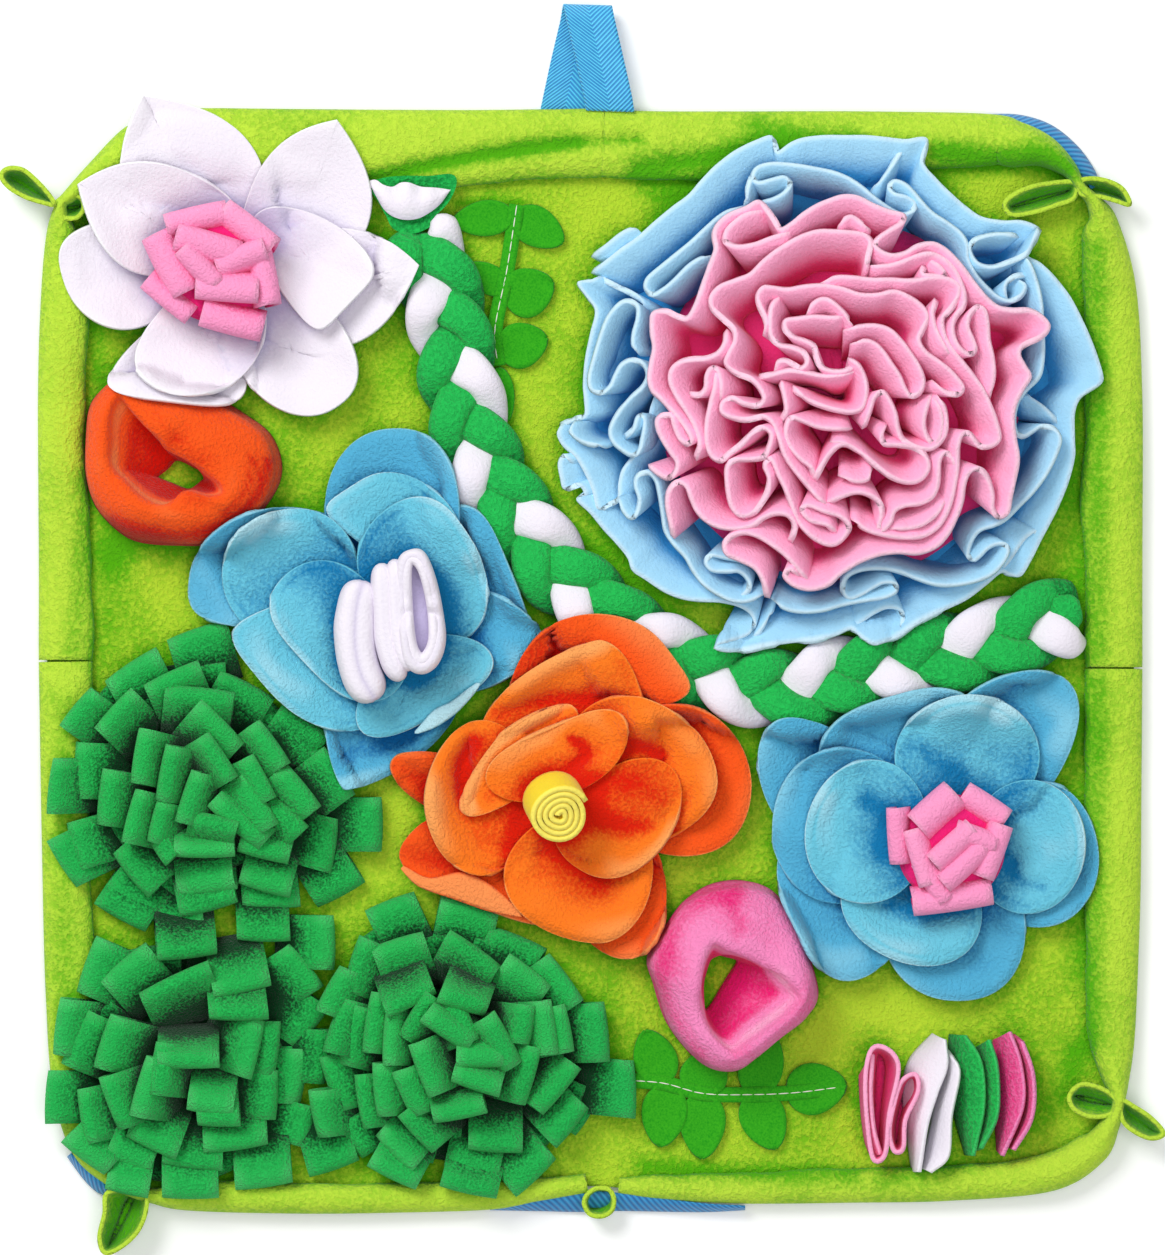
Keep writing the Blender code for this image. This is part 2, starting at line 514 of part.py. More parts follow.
def flat_sheet(name, outline, low, thickness, material):
    """Flat sheet: a filled plan outline given a thickness upwards."""
    curve = bpy.data.curves.new(name + "_outline", "CURVE")
    curve.dimensions = "2D"
    curve.fill_mode = "BOTH"
    curve.extrude = thickness / 2 * MM
    spline = curve.splines.new("POLY")
    spline.points.add(len(outline) - 1)
    for point, (x, y) in zip(spline.points, outline):
        point.co = (x * MM, y * MM, 0, 1)
    spline.use_cyclic_u = True
    source = bpy.data.objects.new(name + "_outline", curve)
    MAT_PARTS.objects.link(source)
    bpy.context.view_layer.update()
    shaped = source.evaluated_get(bpy.context.evaluated_depsgraph_get())
    mesh = bpy.data.meshes.new_from_object(shaped)
    bpy.data.objects.remove(source, do_unlink=True)
    work = bmesh.new()
    work.from_mesh(mesh)
    bmesh.ops.remove_doubles(work, verts=work.verts, dist=0.00001)
    bmesh.ops.recalc_face_normals(work, faces=work.faces)
    work.to_mesh(mesh)
    work.free()
    mesh.name = name
    mesh.materials.clear()
    mesh.materials.append(MATERIALS[material])
    item = bpy.data.objects.new(name, mesh)
    item.location.z = (low + thickness / 2) * MM
    MAT_PARTS.objects.link(item)
    return item


def border_piece(name, table):
    """L-shaped corner of the border: a folded lip that turns into an upright ear at the pinch."""
    line = np.array([row[0] for row in table], float)
    width, top, stand = (np.array([row[k] for row in table], float) for k in (1, 2, 3))
    inward = unit_normals(line)
    lip = np.array(BORDER_FLANGE)
    upright = np.array(BORDER_UPRIGHT)
    reach = width[:, None] * lip[None, :, 0] * (1 - stand[:, None])
    share = lip[None, :, 1] * (1 - stand[:, None]) + upright[None, :] * stand[:, None]
    points = np.zeros((len(line), len(lip), 3))
    points[:, :, :2] = line[:, None, :] + inward[:, None, :] * reach[:, :, None]
    points[:, :, 2] = FOOT + (top[:, None] - FOOT) * share
    faces = [face[::-1] for face in grid_faces(len(line), len(lip))]
    item = mesh_object(name, points.reshape(-1, 3), faces, "lime_fleece")
    return thicken(item, CLOTH, -1)


def standing_strip(name, foot_line, top_line, low, high, material, thickness=CLOTH, closed=False):
    """Strip of cloth on edge between a foot line and a top line."""
    foot = np.asarray(foot_line, float)
    top = np.asarray(top_line, float)
    low = np.broadcast_to(low, len(foot))
    high = np.broadcast_to(high, len(foot))
    rows = [np.column_stack([foot, low]), np.column_stack([top, high])]
    points = np.stack(rows, axis=1)
    faces = grid_faces(len(foot), len(rows), wrap_rows=closed)
    item = mesh_object(name, points.reshape(-1, 3), faces, material)
    return thicken(item, thickness, 0)


def petal(name, base, tip, width, foot, tip_height, edge_lift, sharp, material):
    """Petal-shaped sheet laid over what is already there."""
    base = np.array(base, float)
    tip = np.array(tip, float)
    centre = (base + tip) / 2
    half_run = (tip - base) / 2
    side = np.array([-half_run[1], half_run[0]]) / np.linalg.norm(half_run)
    steps = np.linspace(-1, 1, PETAL_GRID)
    s, t = np.meshgrid(steps, steps, indexing="ij")
    along = s * np.sqrt(1 - t ** 2 / 2)
    across = t * np.sqrt(1 - s ** 2 / 2)
    across = across * (1 + 0.12 * along) * (1 - sharp * np.clip(along, 0, 1) ** 3)
    x = centre[0] + half_run[0] * along + side[0] * width / 2 * across
    y = centre[1] + half_run[1] * along + side[1] * width / 2 * across
    outward = (along + 1) / 2
    wished = foot + (tip_height - foot) * outward ** 1.2 + edge_lift * across ** 2
    z = drape(x, y, wished, reach=4)
    points = np.stack([x, y, z], axis=-1).reshape(-1, 3)
    item = mesh_object(name, points, grid_faces(PETAL_GRID, PETAL_GRID), material)
    return lay_down(face_up(thicken(item, CLOTH, 1)))


def face_up(item):
    """Turns the faces of an open sheet so that they look upwards."""
    work = bmesh.new()
    work.from_mesh(item.data)
    if sum(face.normal.z * face.calc_area() for face in work.faces) < 0:
        bmesh.ops.reverse_faces(work, faces=work.faces)
    work.to_mesh(item.data)
    work.free()
    return item


def lobed_layer(name, centre, lobes, material):
    """One sheet with round lobes, a plan outline made of circles round the flower's centre."""
    centre = np.array(centre)
    angles = np.linspace(0, 2 * np.pi, LOBED_POINTS, endpoint=False)
    reach = np.full(LOBED_POINTS, LEAST_LOBE)
    for middle, radius in lobes:
        offset = np.array(middle) - centre
        distance = np.hypot(*offset)
        turn = angles - math.atan2(offset[1], offset[0])
        inside = radius ** 2 - (distance * np.sin(turn)) ** 2
        far = distance * np.cos(turn) + np.sqrt(np.clip(inside, 0, None))
        reach = np.maximum(reach, np.where(inside > 0, far, 0))
    shares = np.array(LOBED_RINGS)
    radius = reach[None, :] * shares[:, None]
    x = centre[0] + radius * np.cos(angles)
    y = centre[1] + radius * np.sin(angles)
    wished = LOBED_FOOT + (LOBED_RIM - LOBED_FOOT) * shares[:, None] ** 2 * np.ones_like(x)
    z = drape(x, y, wished, reach=5, wrap=True)
    ring = np.stack([x, y, z], axis=-1).reshape(-1, 3)
    points = np.vstack([ring, [centre[0], centre[1], z[0].mean()]])
    faces = grid_faces(len(shares), LOBED_POINTS, wrap_columns=True)
    faces += [(len(ring), i, (i + 1) % LOBED_POINTS) for i in range(LOBED_POINTS)]
    item = mesh_object(name, points, faces, material)
    work = bmesh.new()
    work.from_mesh(item.data)
    bmesh.ops.recalc_face_normals(work, faces=work.faces)
    work.to_mesh(item.data)
    work.free()
    return lay_down(face_up(thicken(item, CLOTH, 1)))


def closed_stack(name, rings, material, smooth=False):
    """Closed solid from rings of points, the first and the last ring closed by one face each."""
    count = rings.shape[1]
    faces = grid_faces(len(rings), count, wrap_columns=True)
    faces.append(tuple(range(count)))
    faces.append(tuple(range((len(rings) - 1) * count, len(rings) * count))[::-1])
    item = mesh_object(name, rings.reshape(-1, 3), faces, material, smooth)
    work = bmesh.new()
    work.from_mesh(item.data)
    bmesh.ops.recalc_face_normals(work, faces=work.faces)
    work.to_mesh(item.data)
    work.free()
    return item


def loop_rosette(name, centre, outline, teeth, tiers, height, material, over_rim=False):
    """Tiers of splayed fabric loops round a centre: a circular comb, smaller tier by tier."""
    count = 2 * teeth
    angles = np.arange(count) / count * 2 * np.pi
    outer = around(outline, angles)
    tier_height = height / (tiers + 0.4)
    rings = []
    for tier in range(tiers):
        shrink = 1 - TIER_SHRINK * tier
        tooth = np.where((np.arange(count) + tier) % 2 == 0, 1.0, LOOP_NOTCH)
        low = tier * tier_height
        tip = outer * shrink * tooth
        notch = outer * shrink * TIER_NOTCH
        if tier == 0:
            rings.append(np.column_stack([outer * TIER_FOOT, np.full(count, low)]))
        rings.append(np.column_stack([outer * TIER_WAIST if tier == 0 else notch, np.full(count, low)]))
        rings.append(np.column_stack([tip, np.full(count, low + 0.25 * tier_height)]))
        rings.append(np.column_stack([tip * 0.97, np.full(count, low + 0.80 * tier_height)]))
    rings.append(np.column_stack([outer * TIER_TOP, np.full(count, height)]))
    rings = np.array(rings)
    points = np.empty(rings.shape[:2] + (3,))
    points[..., 0] = centre[0] + rings[..., 0] * np.cos(angles)
    points[..., 1] = centre[1] + rings[..., 0] * np.sin(angles)
    points[..., 2] = rings[..., 1]
    if over_rim:
        points[..., 2] = drape(points[..., 0], points[..., 1], rings[..., 1] + FOOT, reach=7, wrap=True)
    return lay_down(closed_stack(name, points, material), gap=SEAT_GAP + 0.15 if over_rim else SEWN_GAP)


def stubby_ring(name, centre, outline, wall, lean, material):
    """Double-layer tube open at both ends: one cloth folded over at the rim."""
    angles = np.arange(RING_POINTS) / RING_POINTS * 2 * np.pi
    outer = around(outline, angles)
    inner = outer - around(wall, angles)
    foot_shift = outer * (1 - RING_FOOT_SHARE)
    section = [             # radius at the rim, is it at the foot, height
        (outer, 1, 0.0), (outer, 0, 0.72), ((outer + inner) / 2 + 1.2, 0, 1.0), (inner, 0, 0.80),
        (inner, 1, 0.0), (inner + CLOTH, 1, 0.0), (inner + CLOTH, 0, 0.76), (outer - CLOTH, 0, 0.70),
        (outer - CLOTH, 1, 0.0),
    ]
    rings = []
    for radius, at_foot, share in section:
        radius = radius - foot_shift * at_foot
        x = centre[0] + radius * np.cos(angles) + lean[0] * share
        y = centre[1] + radius * np.sin(angles) + lean[1] * share
        rings.append(np.column_stack([x, y, np.full(RING_POINTS, share * (RING_HEIGHT - FOOT))]))
    points = np.array(rings)
    faces = grid_faces(len(section), RING_POINTS, wrap_rows=True, wrap_columns=True)
    item = mesh_object(name, points.reshape(-1, 3), faces, material)
    work = bmesh.new()
    work.from_mesh(item.data)
    bmesh.ops.recalc_face_normals(work, faces=work.faces)
    work.to_mesh(item.data)
    work.free()
    return lay_down(item, gap=SEWN_GAP)


def leaf_rim(base, tip, width):
    """Rim of one leaf from one side of its narrow root, round the tip, to the other side."""
    centre, half = (base + tip) / 2, (tip - base) / 2
    side = np.array([-half[1], half[0]]) / np.linalg.norm(half) * width / 2
    turns = np.radians([154, 112, 66, 20, -20, -66, -112, -154])
    return centre + np.cos(turns)[:, None] * half + np.sin(turns)[:, None] * side


def sprig_outline(stem, leaves):
    """Out along the right side of the stem with its leaves, round the end,
    and back along the left side."""
    line = smooth_line(stem, 4)
    run = np.concatenate([[0], np.cumsum(np.linalg.norm(np.diff(line, axis=0), axis=1))])
    normals = unit_normals(line)
    sides = {1: [], -1: [], 0: []}
    for base, tip, width in leaves:
        base, tip = np.array(base, float), np.array(tip, float)
        at = int(np.argmin(np.linalg.norm(line - base, axis=1)))
        heading = np.array([-normals[at, 1], normals[at, 0]])
        lean = (tip - base) @ normals[at] / np.linalg.norm(tip - base)
        sign = 0 if abs(lean) < 0.35 else int(np.sign(lean))
        rim = leaf_rim(base, tip, width)
        ordered = (rim[-1] - rim[0]) @ (heading if sign else -normals[at]) > 0
        sides[sign].append((run[at], list(rim if ordered else rim[::-1])))
    for sign in (1, -1):
        taken = [place for place, _ in sides[sign]] + [place for place, _ in sides[0]]
        for place, point, normal in zip(run[::2], line[::2], normals[::2]):
            if all(abs(place - other) > SPRIG_LEAF_ROOT for other in taken):
                sides[sign].append((place, [point + normal * sign * SPRIG_STEM_WIDTH / 2]))
        sides[sign].sort(key=lambda entry: entry[0])
    outline = [point for _, points in sides[1] for point in points]
    outline += [point for _, points in sides[0] for point in points]
    outline += [point for _, points in reversed(sides[-1]) for point in reversed(points)]
    return outline


def tube_of_sections(name, centres, sides, ups, half_width, half_thick, material):
    """Flat strand: a four-sided section carried along a line."""
    corners = [(-1.0, 0.0), (0.0, -1.0), (1.0, 0.0), (0.0, 1.0)]
    rings = [centres + sides * half_width * a + ups * half_thick * b for a, b in corners]
    points = np.stack(rings, axis=1)
    return closed_stack(name, points, material, smooth=True)


def plait_strand(name, number, material):
    """One of three strands that swing across and over each other along the plait's centre line."""
    line = smooth_line(PLAIT_LINE, 8)
    run = np.concatenate([[0], np.cumsum(np.linalg.norm(np.diff(line, axis=0), axis=1))])
    stations = PLAIT_TURNS * PLAIT_STATIONS_PER_TURN + 1
    at = np.linspace(0, run[-1], stations)
    centre = np.column_stack([np.interp(at, run, line[:, 0]), np.interp(at, run, line[:, 1])])
    side = unit_normals(centre)
    phase = np.pi / 6 + np.arange(stations) * np.pi / 3 + number * 2 * np.pi / 3
    across = PLAIT_SIDE * np.sin(phase)
    height = TOP_OF_BASE + SEWN_GAP + FELT + SEAT_GAP + STRAND_THICK / 2 + PLAIT_LIFT * (1 + np.sin(2 * phase))
    place = np.column_stack([centre + side * across[:, None], height])
    ups = np.tile([0.0, 0.0, 1.0], (stations, 1))
    heading = np.gradient(place[:, :2], axis=0)
    heading /= np.linalg.norm(heading, axis=1, keepdims=True)
    sides = np.column_stack([heading[:, 1], -heading[:, 0], np.zeros(stations)])
    return lay_down(tube_of_sections(name, place, sides, ups, STRAND_WIDTH / 2, STRAND_THICK / 2, material),
                    seat=False)


def ribbon_line(centre, legs, pitch, leg, tilt):
    """Back-and-forth plan line with rounded-off turns."""
    points = []
    for number in range(legs):
        x = (number - (legs - 1) / 2) * pitch
        ends = (-leg / 2, leg / 2) if number % 2 == 0 else (leg / 2, -leg / 2)
        points += [(x, ends[0]), (x + 0.5, 0.0), (x, ends[1])]
        if number < legs - 1:
            points.append((x + pitch / 2, ends[1] * 1.07))
    points = np.array(points)
    turn = math.radians(tilt)
    rotate = np.array([[math.cos(turn), math.sin(turn)], [-math.sin(turn), math.cos(turn)]])
    return points @ rotate + np.array(centre)


# ------------------------------------------------------------------ the mat, from the floor up

lay_down(flat_sheet("base_panel", BASE_OUTLINE, 0.0, CLOTH, "lime_fleece"), seat=False)

for piece_name, piece_table in (
    ("border_top_left", BORDER_TOP_LEFT), ("border_top_right", BORDER_TOP_RIGHT),
    ("border_bottom_right", BORDER_BOTTOM_RIGHT), ("border_bottom_left", BORDER_BOTTOM_LEFT),
):
    lay_down(border_piece(piece_name, piece_table), seat=False)

loop_turns = np.arange(12) / 12 * 2 * np.pi
loop_line = np.array(EDGE_LOOP_CENTRE) + np.column_stack(
    [EDGE_LOOP_HALF[0] * np.cos(loop_turns), EDGE_LOOP_HALF[1] * np.sin(loop_turns)])
lay_down(standing_strip("edge_loop_bottom", loop_line, loop_line, FOOT, EDGE_LOOP_HEIGHT, "lime_fleece",
                        thickness=EDGE_LOOP, closed=True), seat=False)

handle_points = np.array([[*point, height] for point, height, _ in HANDLE_LINE])
handle_yaw = np.radians([yaw for _, _, yaw in HANDLE_LINE])
handle_side = np.column_stack([np.cos(handle_yaw), np.sin(handle_yaw), np.zeros(len(handle_yaw))])
handle_rows = np.stack([handle_points - handle_side * WEBBING_WIDTH / 2,
                        handle_points + handle_side * WEBBING_WIDTH / 2], axis=1)
thicken(mesh_object("handle_strap", handle_rows.reshape(-1, 3), grid_faces(len(handle_rows), 2), "blue_webbing"),
        WEBBING, 0)

for band_name, band in (
    ("webbing_band_top_right", BAND_TOP_RIGHT), ("webbing_band_bottom", BAND_BOTTOM),
    ("webbing_band_bottom_left", BAND_BOTTOM_LEFT),
):
    standing_strip(band_name, [row[0] for row in band], [row[1] for row in band], BINDING_FOOT,
                   BINDING_TOP, "blue_webbing", thickness=BINDING)

for sprig_name, sprig_stem, sprig_leaves in (
    ("felt_sprig_top", SPRIG_TOP_STEM, SPRIG_TOP_LEAVES),
    ("felt_sprig_bottom", SPRIG_BOTTOM_STEM, SPRIG_BOTTOM_LEAVES),
):
    lay_down(flat_sheet(sprig_name, sprig_outline(sprig_stem, sprig_leaves), FOOT, FELT, "leaf_felt"), seat=False)

for strand, strand_material in enumerate(("plait_green_fleece", "plait_green_fleece", "white_fleece")):
    plait_strand("plait_strand_%d" % (strand + 1), strand, strand_material)

for bush_name, bush_centre, bush_outline in (
    ("bush_left", BUSH_LEFT_CENTRE, BUSH_LEFT_OUTLINE),
    ("bush_bottom_left", BUSH_BOTTOM_LEFT_CENTRE, BUSH_BOTTOM_LEFT_OUTLINE),
    ("bush_bottom", BUSH_BOTTOM_CENTRE, BUSH_BOTTOM_OUTLINE),
):
    loop_rosette(bush_name, bush_centre, bush_outline, BUSH_TEETH, BUSH_TIERS, BUSH_HEIGHT, "bush_fleece",
                 over_rim=True)

for strip_name, strip_line, strip_material in (
    ("folded_strip_pink", STRIP_PINK, "pink_fleece"),
    ("folded_strip_white", STRIP_WHITE, "white_fleece"),
    ("folded_strip_green", STRIP_GREEN, "plait_green_fleece"),
    ("folded_strip_magenta", STRIP_MAGENTA, "magenta_fleece"),
):
    lay_down(standing_strip(strip_name, strip_line, strip_line, 0.0, STRIP_HEIGHT, strip_material,
                            thickness=STANDING_STRIP), gap=SEWN_GAP)

# Blue ruffle: a wavy skirt that flares outwards under the pink coil.
skirt_steps = np.arange(4 * BLUE_RUFFLE_FOLDS)
skirt_turn = skirt_steps / len(skirt_steps) * 2 * np.pi
skirt_swing = np.where(skirt_steps % 4 < 2, 1.0, -1.0)
skirt_dir = np.column_stack([np.cos(skirt_turn), np.sin(skirt_turn)])
skirt_centre = np.array(BLUE_RUFFLE_CENTRE)
skirt_edge = BLUE_RUFFLE_EDGE + BLUE_RUFFLE_SWING * skirt_swing
lay_down(standing_strip(
    "ruffle_blue",
    skirt_centre + skirt_dir * (BLUE_RUFFLE_FOOT + RUFFLE_FOOT_SWING * skirt_swing)[:, None],
    skirt_centre + skirt_dir * skirt_edge[:, None], 0.0, BLUE_RUFFLE_HEIGHT + BLUE_RUFFLE_RIM_SWING * skirt_swing,
    "sky_fleece", closed=True), gap=SEWN_GAP)

# Pink ruffle: one long strip on edge, coiled from the middle outwards, its top swinging in folds.
coil_steps = np.arange(4 * PINK_RUFFLE_FOLDS + 1)
coil_share = (coil_steps / coil_steps[-1]) ** PINK_RUFFLE_CROWDING
coil_turn = coil_share * PINK_RUFFLE_COILS * 2 * np.pi + PINK_RUFFLE_START
coil_swing = np.where(coil_steps % 4 < 2, 1.0, -1.0)
coil_dir = np.column_stack([np.cos(coil_turn), np.sin(coil_turn)])
coil_centre = np.array(PINK_RUFFLE_CENTRE)
coil_foot = np.interp(coil_share, [0, 1], PINK_RUFFLE_FOOT) + RUFFLE_FOOT_SWING * coil_swing
coil_top = np.interp(coil_share, [0, 1], PINK_RUFFLE_TOP) + np.interp(
    coil_share, [0, 1], PINK_RUFFLE_SWING) * coil_swing
lay_down(standing_strip(
    "ruffle_pink", coil_centre + coil_dir * coil_foot[:, None],
    coil_centre + coil_dir * coil_top[:, None],
    0.0, PINK_RUFFLE_HEIGHT - FOOT, "rose_pink_fleece"), gap=SEWN_GAP)

for petal_name, row in WHITE_PETALS.items():
    petal(petal_name, *row, "white_fleece")
loop_rosette("loop_bundle_white_flower", WHITE_FLOWER_BUNDLE, WHITE_FLOWER_BUNDLE_RADII, BUNDLE_TEETH, 2,
             LOOP_BUNDLE_HEIGHT, "pink_fleece")

lobed_layer("petals_blue_back", BLUE_BACK_CENTRE, BLUE_BACK_LOBES, "deep_blue_fleece")
for petal_name, row in BLUE_PETALS.items():
    petal(petal_name, *row, "blue_fleece")
ribbon = ribbon_line(RIBBON_CENTRE, RIBBON_LEGS, RIBBON_PITCH, RIBBON_LEG, RIBBON_TILT)
lay_down(standing_strip("ribbon_white_folded", ribbon, ribbon, 0.0, RIBBON_HEIGHT, "white_fleece",
                        thickness=STANDING_STRIP))

lobed_layer("petals_orange_back", ORANGE_BACK_CENTRE, ORANGE_BACK_LOBES, "red_orange_fleece")
for petal_name, row in ORANGE_PETALS.items():
    petal(petal_name, *row, "orange_fleece")
roll_turn = np.linspace(0, ROLL_TURNS * 2 * np.pi, int(ROLL_TURNS * 12) + 1)
roll_radius = ROLL_RADIUS - ROLL_PITCH * (roll_turn[-1] - roll_turn) / (2 * np.pi)
roll_line = np.column_stack([roll_radius * np.cos(roll_turn), roll_radius * np.sin(roll_turn)])
roll = standing_strip("roll_yellow", roll_line, roll_line, 0.0, ROLL_LENGTH, "yellow_fleece")
roll.location = (ROLL_CENTRE[0] * MM, ROLL_CENTRE[1] * MM, 0.0)
roll.rotation_euler = (math.radians(ROLL_LEAN), 0.0, 0.0)
lay_down(roll)

lobed_layer("petals_light_blue_back", LIGHT_BLUE_BACK_CENTRE, LIGHT_BLUE_BACK_LOBES, "deep_blue_fleece")
for petal_name, row in LIGHT_BLUE_PETALS.items():
    petal(petal_name, *row, "blue_fleece")
loop_rosette("loop_bundle_light_blue_flower", LIGHT_BLUE_BUNDLE, LIGHT_BLUE_BUNDLE_RADII, BUNDLE_TEETH, 2,
             LOOP_BUNDLE_HEIGHT, "pink_fleece")

stubby_ring("ring_orange", ORANGE_RING_CENTRE, ORANGE_RING_OUTLINE, ORANGE_RING_WALL, ORANGE_RING_LEAN,
            "red_orange_fleece")
stubby_ring("ring_pink", PINK_RING_CENTRE, PINK_RING_OUTLINE, PINK_RING_WALL, PINK_RING_LEAN, "magenta_fleece")
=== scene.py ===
# %% [markdown]
# A snuffle mat seen from above. The real one is a square of thick polar fleece with a soft lip round
# it, and fleece toys sewn on top: flowers, bushes of folded loops, two stubby rings, a plait and a row
# of folded strips. Treats are hidden among them for a dog to sniff out.
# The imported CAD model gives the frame. Each of its plain solids is replaced here by a finished piece
# of cloth, made as a numpy surface, that lies in the same place.

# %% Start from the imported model
import math

import bpy
import numpy as np
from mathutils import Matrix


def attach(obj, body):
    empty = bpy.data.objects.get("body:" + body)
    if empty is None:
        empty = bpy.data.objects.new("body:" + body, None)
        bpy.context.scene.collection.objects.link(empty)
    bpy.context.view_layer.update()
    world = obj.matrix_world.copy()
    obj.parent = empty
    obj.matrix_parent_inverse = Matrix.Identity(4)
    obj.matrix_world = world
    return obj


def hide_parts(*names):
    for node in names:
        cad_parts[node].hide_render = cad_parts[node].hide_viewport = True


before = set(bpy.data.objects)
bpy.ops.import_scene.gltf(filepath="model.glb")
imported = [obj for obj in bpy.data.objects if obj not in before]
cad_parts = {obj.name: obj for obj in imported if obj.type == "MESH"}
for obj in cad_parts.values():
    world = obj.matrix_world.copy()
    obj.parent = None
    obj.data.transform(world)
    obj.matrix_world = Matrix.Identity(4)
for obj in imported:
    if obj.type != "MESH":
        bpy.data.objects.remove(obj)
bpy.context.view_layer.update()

# %% [markdown]
# Places on the mat are given on a page of 1165 x 1255 squares, laid over the mat as it is seen from
# straight above, with u to the right and v down. One square of the page is 0.456 mm, which makes the mat
# about 500 mm square and the webbing of its handle 22 mm wide. Everything is worked out in millimetres
# and becomes metres only when a mesh is made.

# %% Page to millimetres
MM = 0.001
PAGE = (1165, 1255)
SQUARE = 0.456                  # mm for one square of the page
CLOTH = 2.0                     # mm, thickness of the fleece
FLOOR_OF_MAT = 2.0              # mm, top of the base cloth


def page(points):
    """Page squares to mm in plan: x = (u - 582.5) * 0.456 and y = (627.5 - v) * 0.456."""
    return (np.asarray(points, float) - (PAGE[0] / 2, PAGE[1] / 2)) * (SQUARE, -SQUARE)


def run_of(line):
    """How far each point of a line lies along it."""
    return np.concatenate([[0], np.cumsum(np.linalg.norm(np.diff(line, axis=0), axis=1))])


def spline(a, b, c, d, f):
    """Catmull-Rom: the value at share f of the way from b to c, where a and d are the neighbours."""
    return 0.5 * (2 * b + (c - a) * f + (2 * a - 5 * b + 4 * c - d) * f**2 + (3 * b - a - 3 * c + d) * f**3)


def smooth(points, count, closed=False):
    """Catmull-Rom curve through a short table, as `count` points at even steps of its plan length."""
    p = np.asarray(points, float)
    if closed:
        ring = np.vstack([p[-1:], p, p[:2]])
    else:
        ring = np.vstack([2 * p[0] - p[1], p, 2 * p[-1] - p[-2]])
    spans = len(ring) - 3
    t = np.linspace(0, spans, 24 * spans + 1)
    i = np.minimum(t.astype(int), spans - 1)
    f = (t - i)[:, None]
    line = spline(ring[i], ring[i + 1], ring[i + 2], ring[i + 3], f)
    run = run_of(line[:, :2])
    at = np.linspace(0, run[-1], count, endpoint=not closed)
    return np.stack([np.interp(at, run, column) for column in line.T], axis=1)


def normals_of(line, closed=False):
    """Unit normals to the right of a plan line."""
    run = np.roll(line, -1, 0) - np.roll(line, 1, 0) if closed else np.gradient(line, axis=0)
    run = run[:, :2] / np.linalg.norm(run[:, :2], axis=1, keepdims=True)
    return np.stack([run[:, 1], -run[:, 0]], axis=1)


def around(table, angles):
    """Values spaced evenly once round from +x, counter-clockwise, read at any angle by a smooth curve."""
    table = np.asarray(table, float)
    n = len(table)
    place = np.mod(angles, 2 * np.pi) / (2 * np.pi) * n
    i = np.floor(place).astype(int)
    f = place - i
    return spline(*(table[(i + k) % n] for k in (-1, 0, 1, 2)), f)


def ripple(t, seed, waves=4, lowest=1.0):
    """Sum of a few sines of t with seeded speeds and starts, from about -1 to 1: a hand-made unevenness."""
    rng = np.random.default_rng(seed)
    speeds = lowest * (1 + np.arange(waves) * 0.83 + rng.uniform(0, 0.4, waves))
    starts = rng.uniform(0, 2 * np.pi, waves)
    weights = 1 / (1 + 0.6 * np.arange(waves))
    return sum(w * np.sin(s * t + p) for w, s, p in zip(weights, speeds, starts)) / weights.sum()


def folds_at(rows, x, y):
    """Soft folds from rows of (page line, width mm, height mm, change of tone). Across each line stands a
    bell, exp(-(distance / width)^2). Returns the summed change of height and that of the tone."""
    rise, shade = np.zeros(x.shape), np.zeros(x.shape)
    for line, width, height, change in rows:
        along = smooth(page(line), 40)
        near = np.full(x.shape, 1e9)
        for px, py in along:
            near = np.minimum(near, (x - px) ** 2 + (y - py) ** 2)
        bell = np.exp(-near / width**2)
        rise += height * bell
        shade += change * bell
    return rise, shade


def beside(line, out, shift):
    """Plan x and y of the points `shift` mm to the side of a line, where `out` are its normals."""
    return line[:, 0, None] + out[:, 0, None] * shift, line[:, 1, None] + out[:, 1, None] * shift


def ruled(a, b, t):
    """A grid of plan points on straight rules from line a, at t = 0, to line b, at t = 1."""
    return a[:, None] * (1 - t)[..., None] + b[:, None] * t[..., None]


print("the page is", round(PAGE[0] * SQUARE), "x", round(PAGE[1] * SQUARE), "mm")

# %% [markdown]
# Cloth that lies on other cloth needs to know how high the pile already is. A height map does that:
# a flat array with one cell a millimetre, which holds the top of whatever lies there. A new sheet reads
# it, is lifted smoothly over what is in its way, and is then written into it. This stands in for a
# cloth simulation and gives the same stack each time.

# %% Height map and draping
HALF = 300                      # mm from the middle to each side of the map
HEIGHT = np.zeros((2 * HALF, 2 * HALF))


def cell(x, y):
    """Row and column of the map for plan points in mm."""
    column = np.clip(np.floor(x + HALF).astype(int), 0, 2 * HALF - 1)
    row = np.clip(np.floor(y + HALF).astype(int), 0, 2 * HALF - 1)
    return row, column


def support(x, y, reach=2):
    """Highest cloth within `reach` mm of each plan point."""
    row, column = cell(x, y)
    best = np.zeros(x.shape)
    for down in range(-reach, reach + 1, 2):
        for right in range(-reach, reach + 1, 2):
            best = np.maximum(best, HEIGHT[np.clip(row + down, 0, 2 * HALF - 1),
                                           np.clip(column + right, 0, 2 * HALF - 1)])
    return best


def settle(points, closed=False):
    """Writes a grid of points into the map, filling in between them by straight blends."""
    grid = np.concatenate([points, points[:, :1]], axis=1) if closed else points
    for axis in (0, 1):
        longest = np.linalg.norm(np.diff(grid, axis=axis), axis=-1).max()
        n = grid.shape[axis]
        at = np.linspace(0, n - 1, int(min(8, longest + 1) * (n - 1)) + 1)
        i = np.minimum(at.astype(int), n - 2)
        f = (at - i).reshape((-1, 1, 1) if axis == 0 else (1, -1, 1))
        grid = np.take(grid, i, axis) * (1 - f) + np.take(grid, i + 1, axis) * f
    row, column = cell(grid[..., 0], grid[..., 1])
    np.maximum.at(HEIGHT, (row.ravel(), column.ravel()), grid[..., 2].ravel())


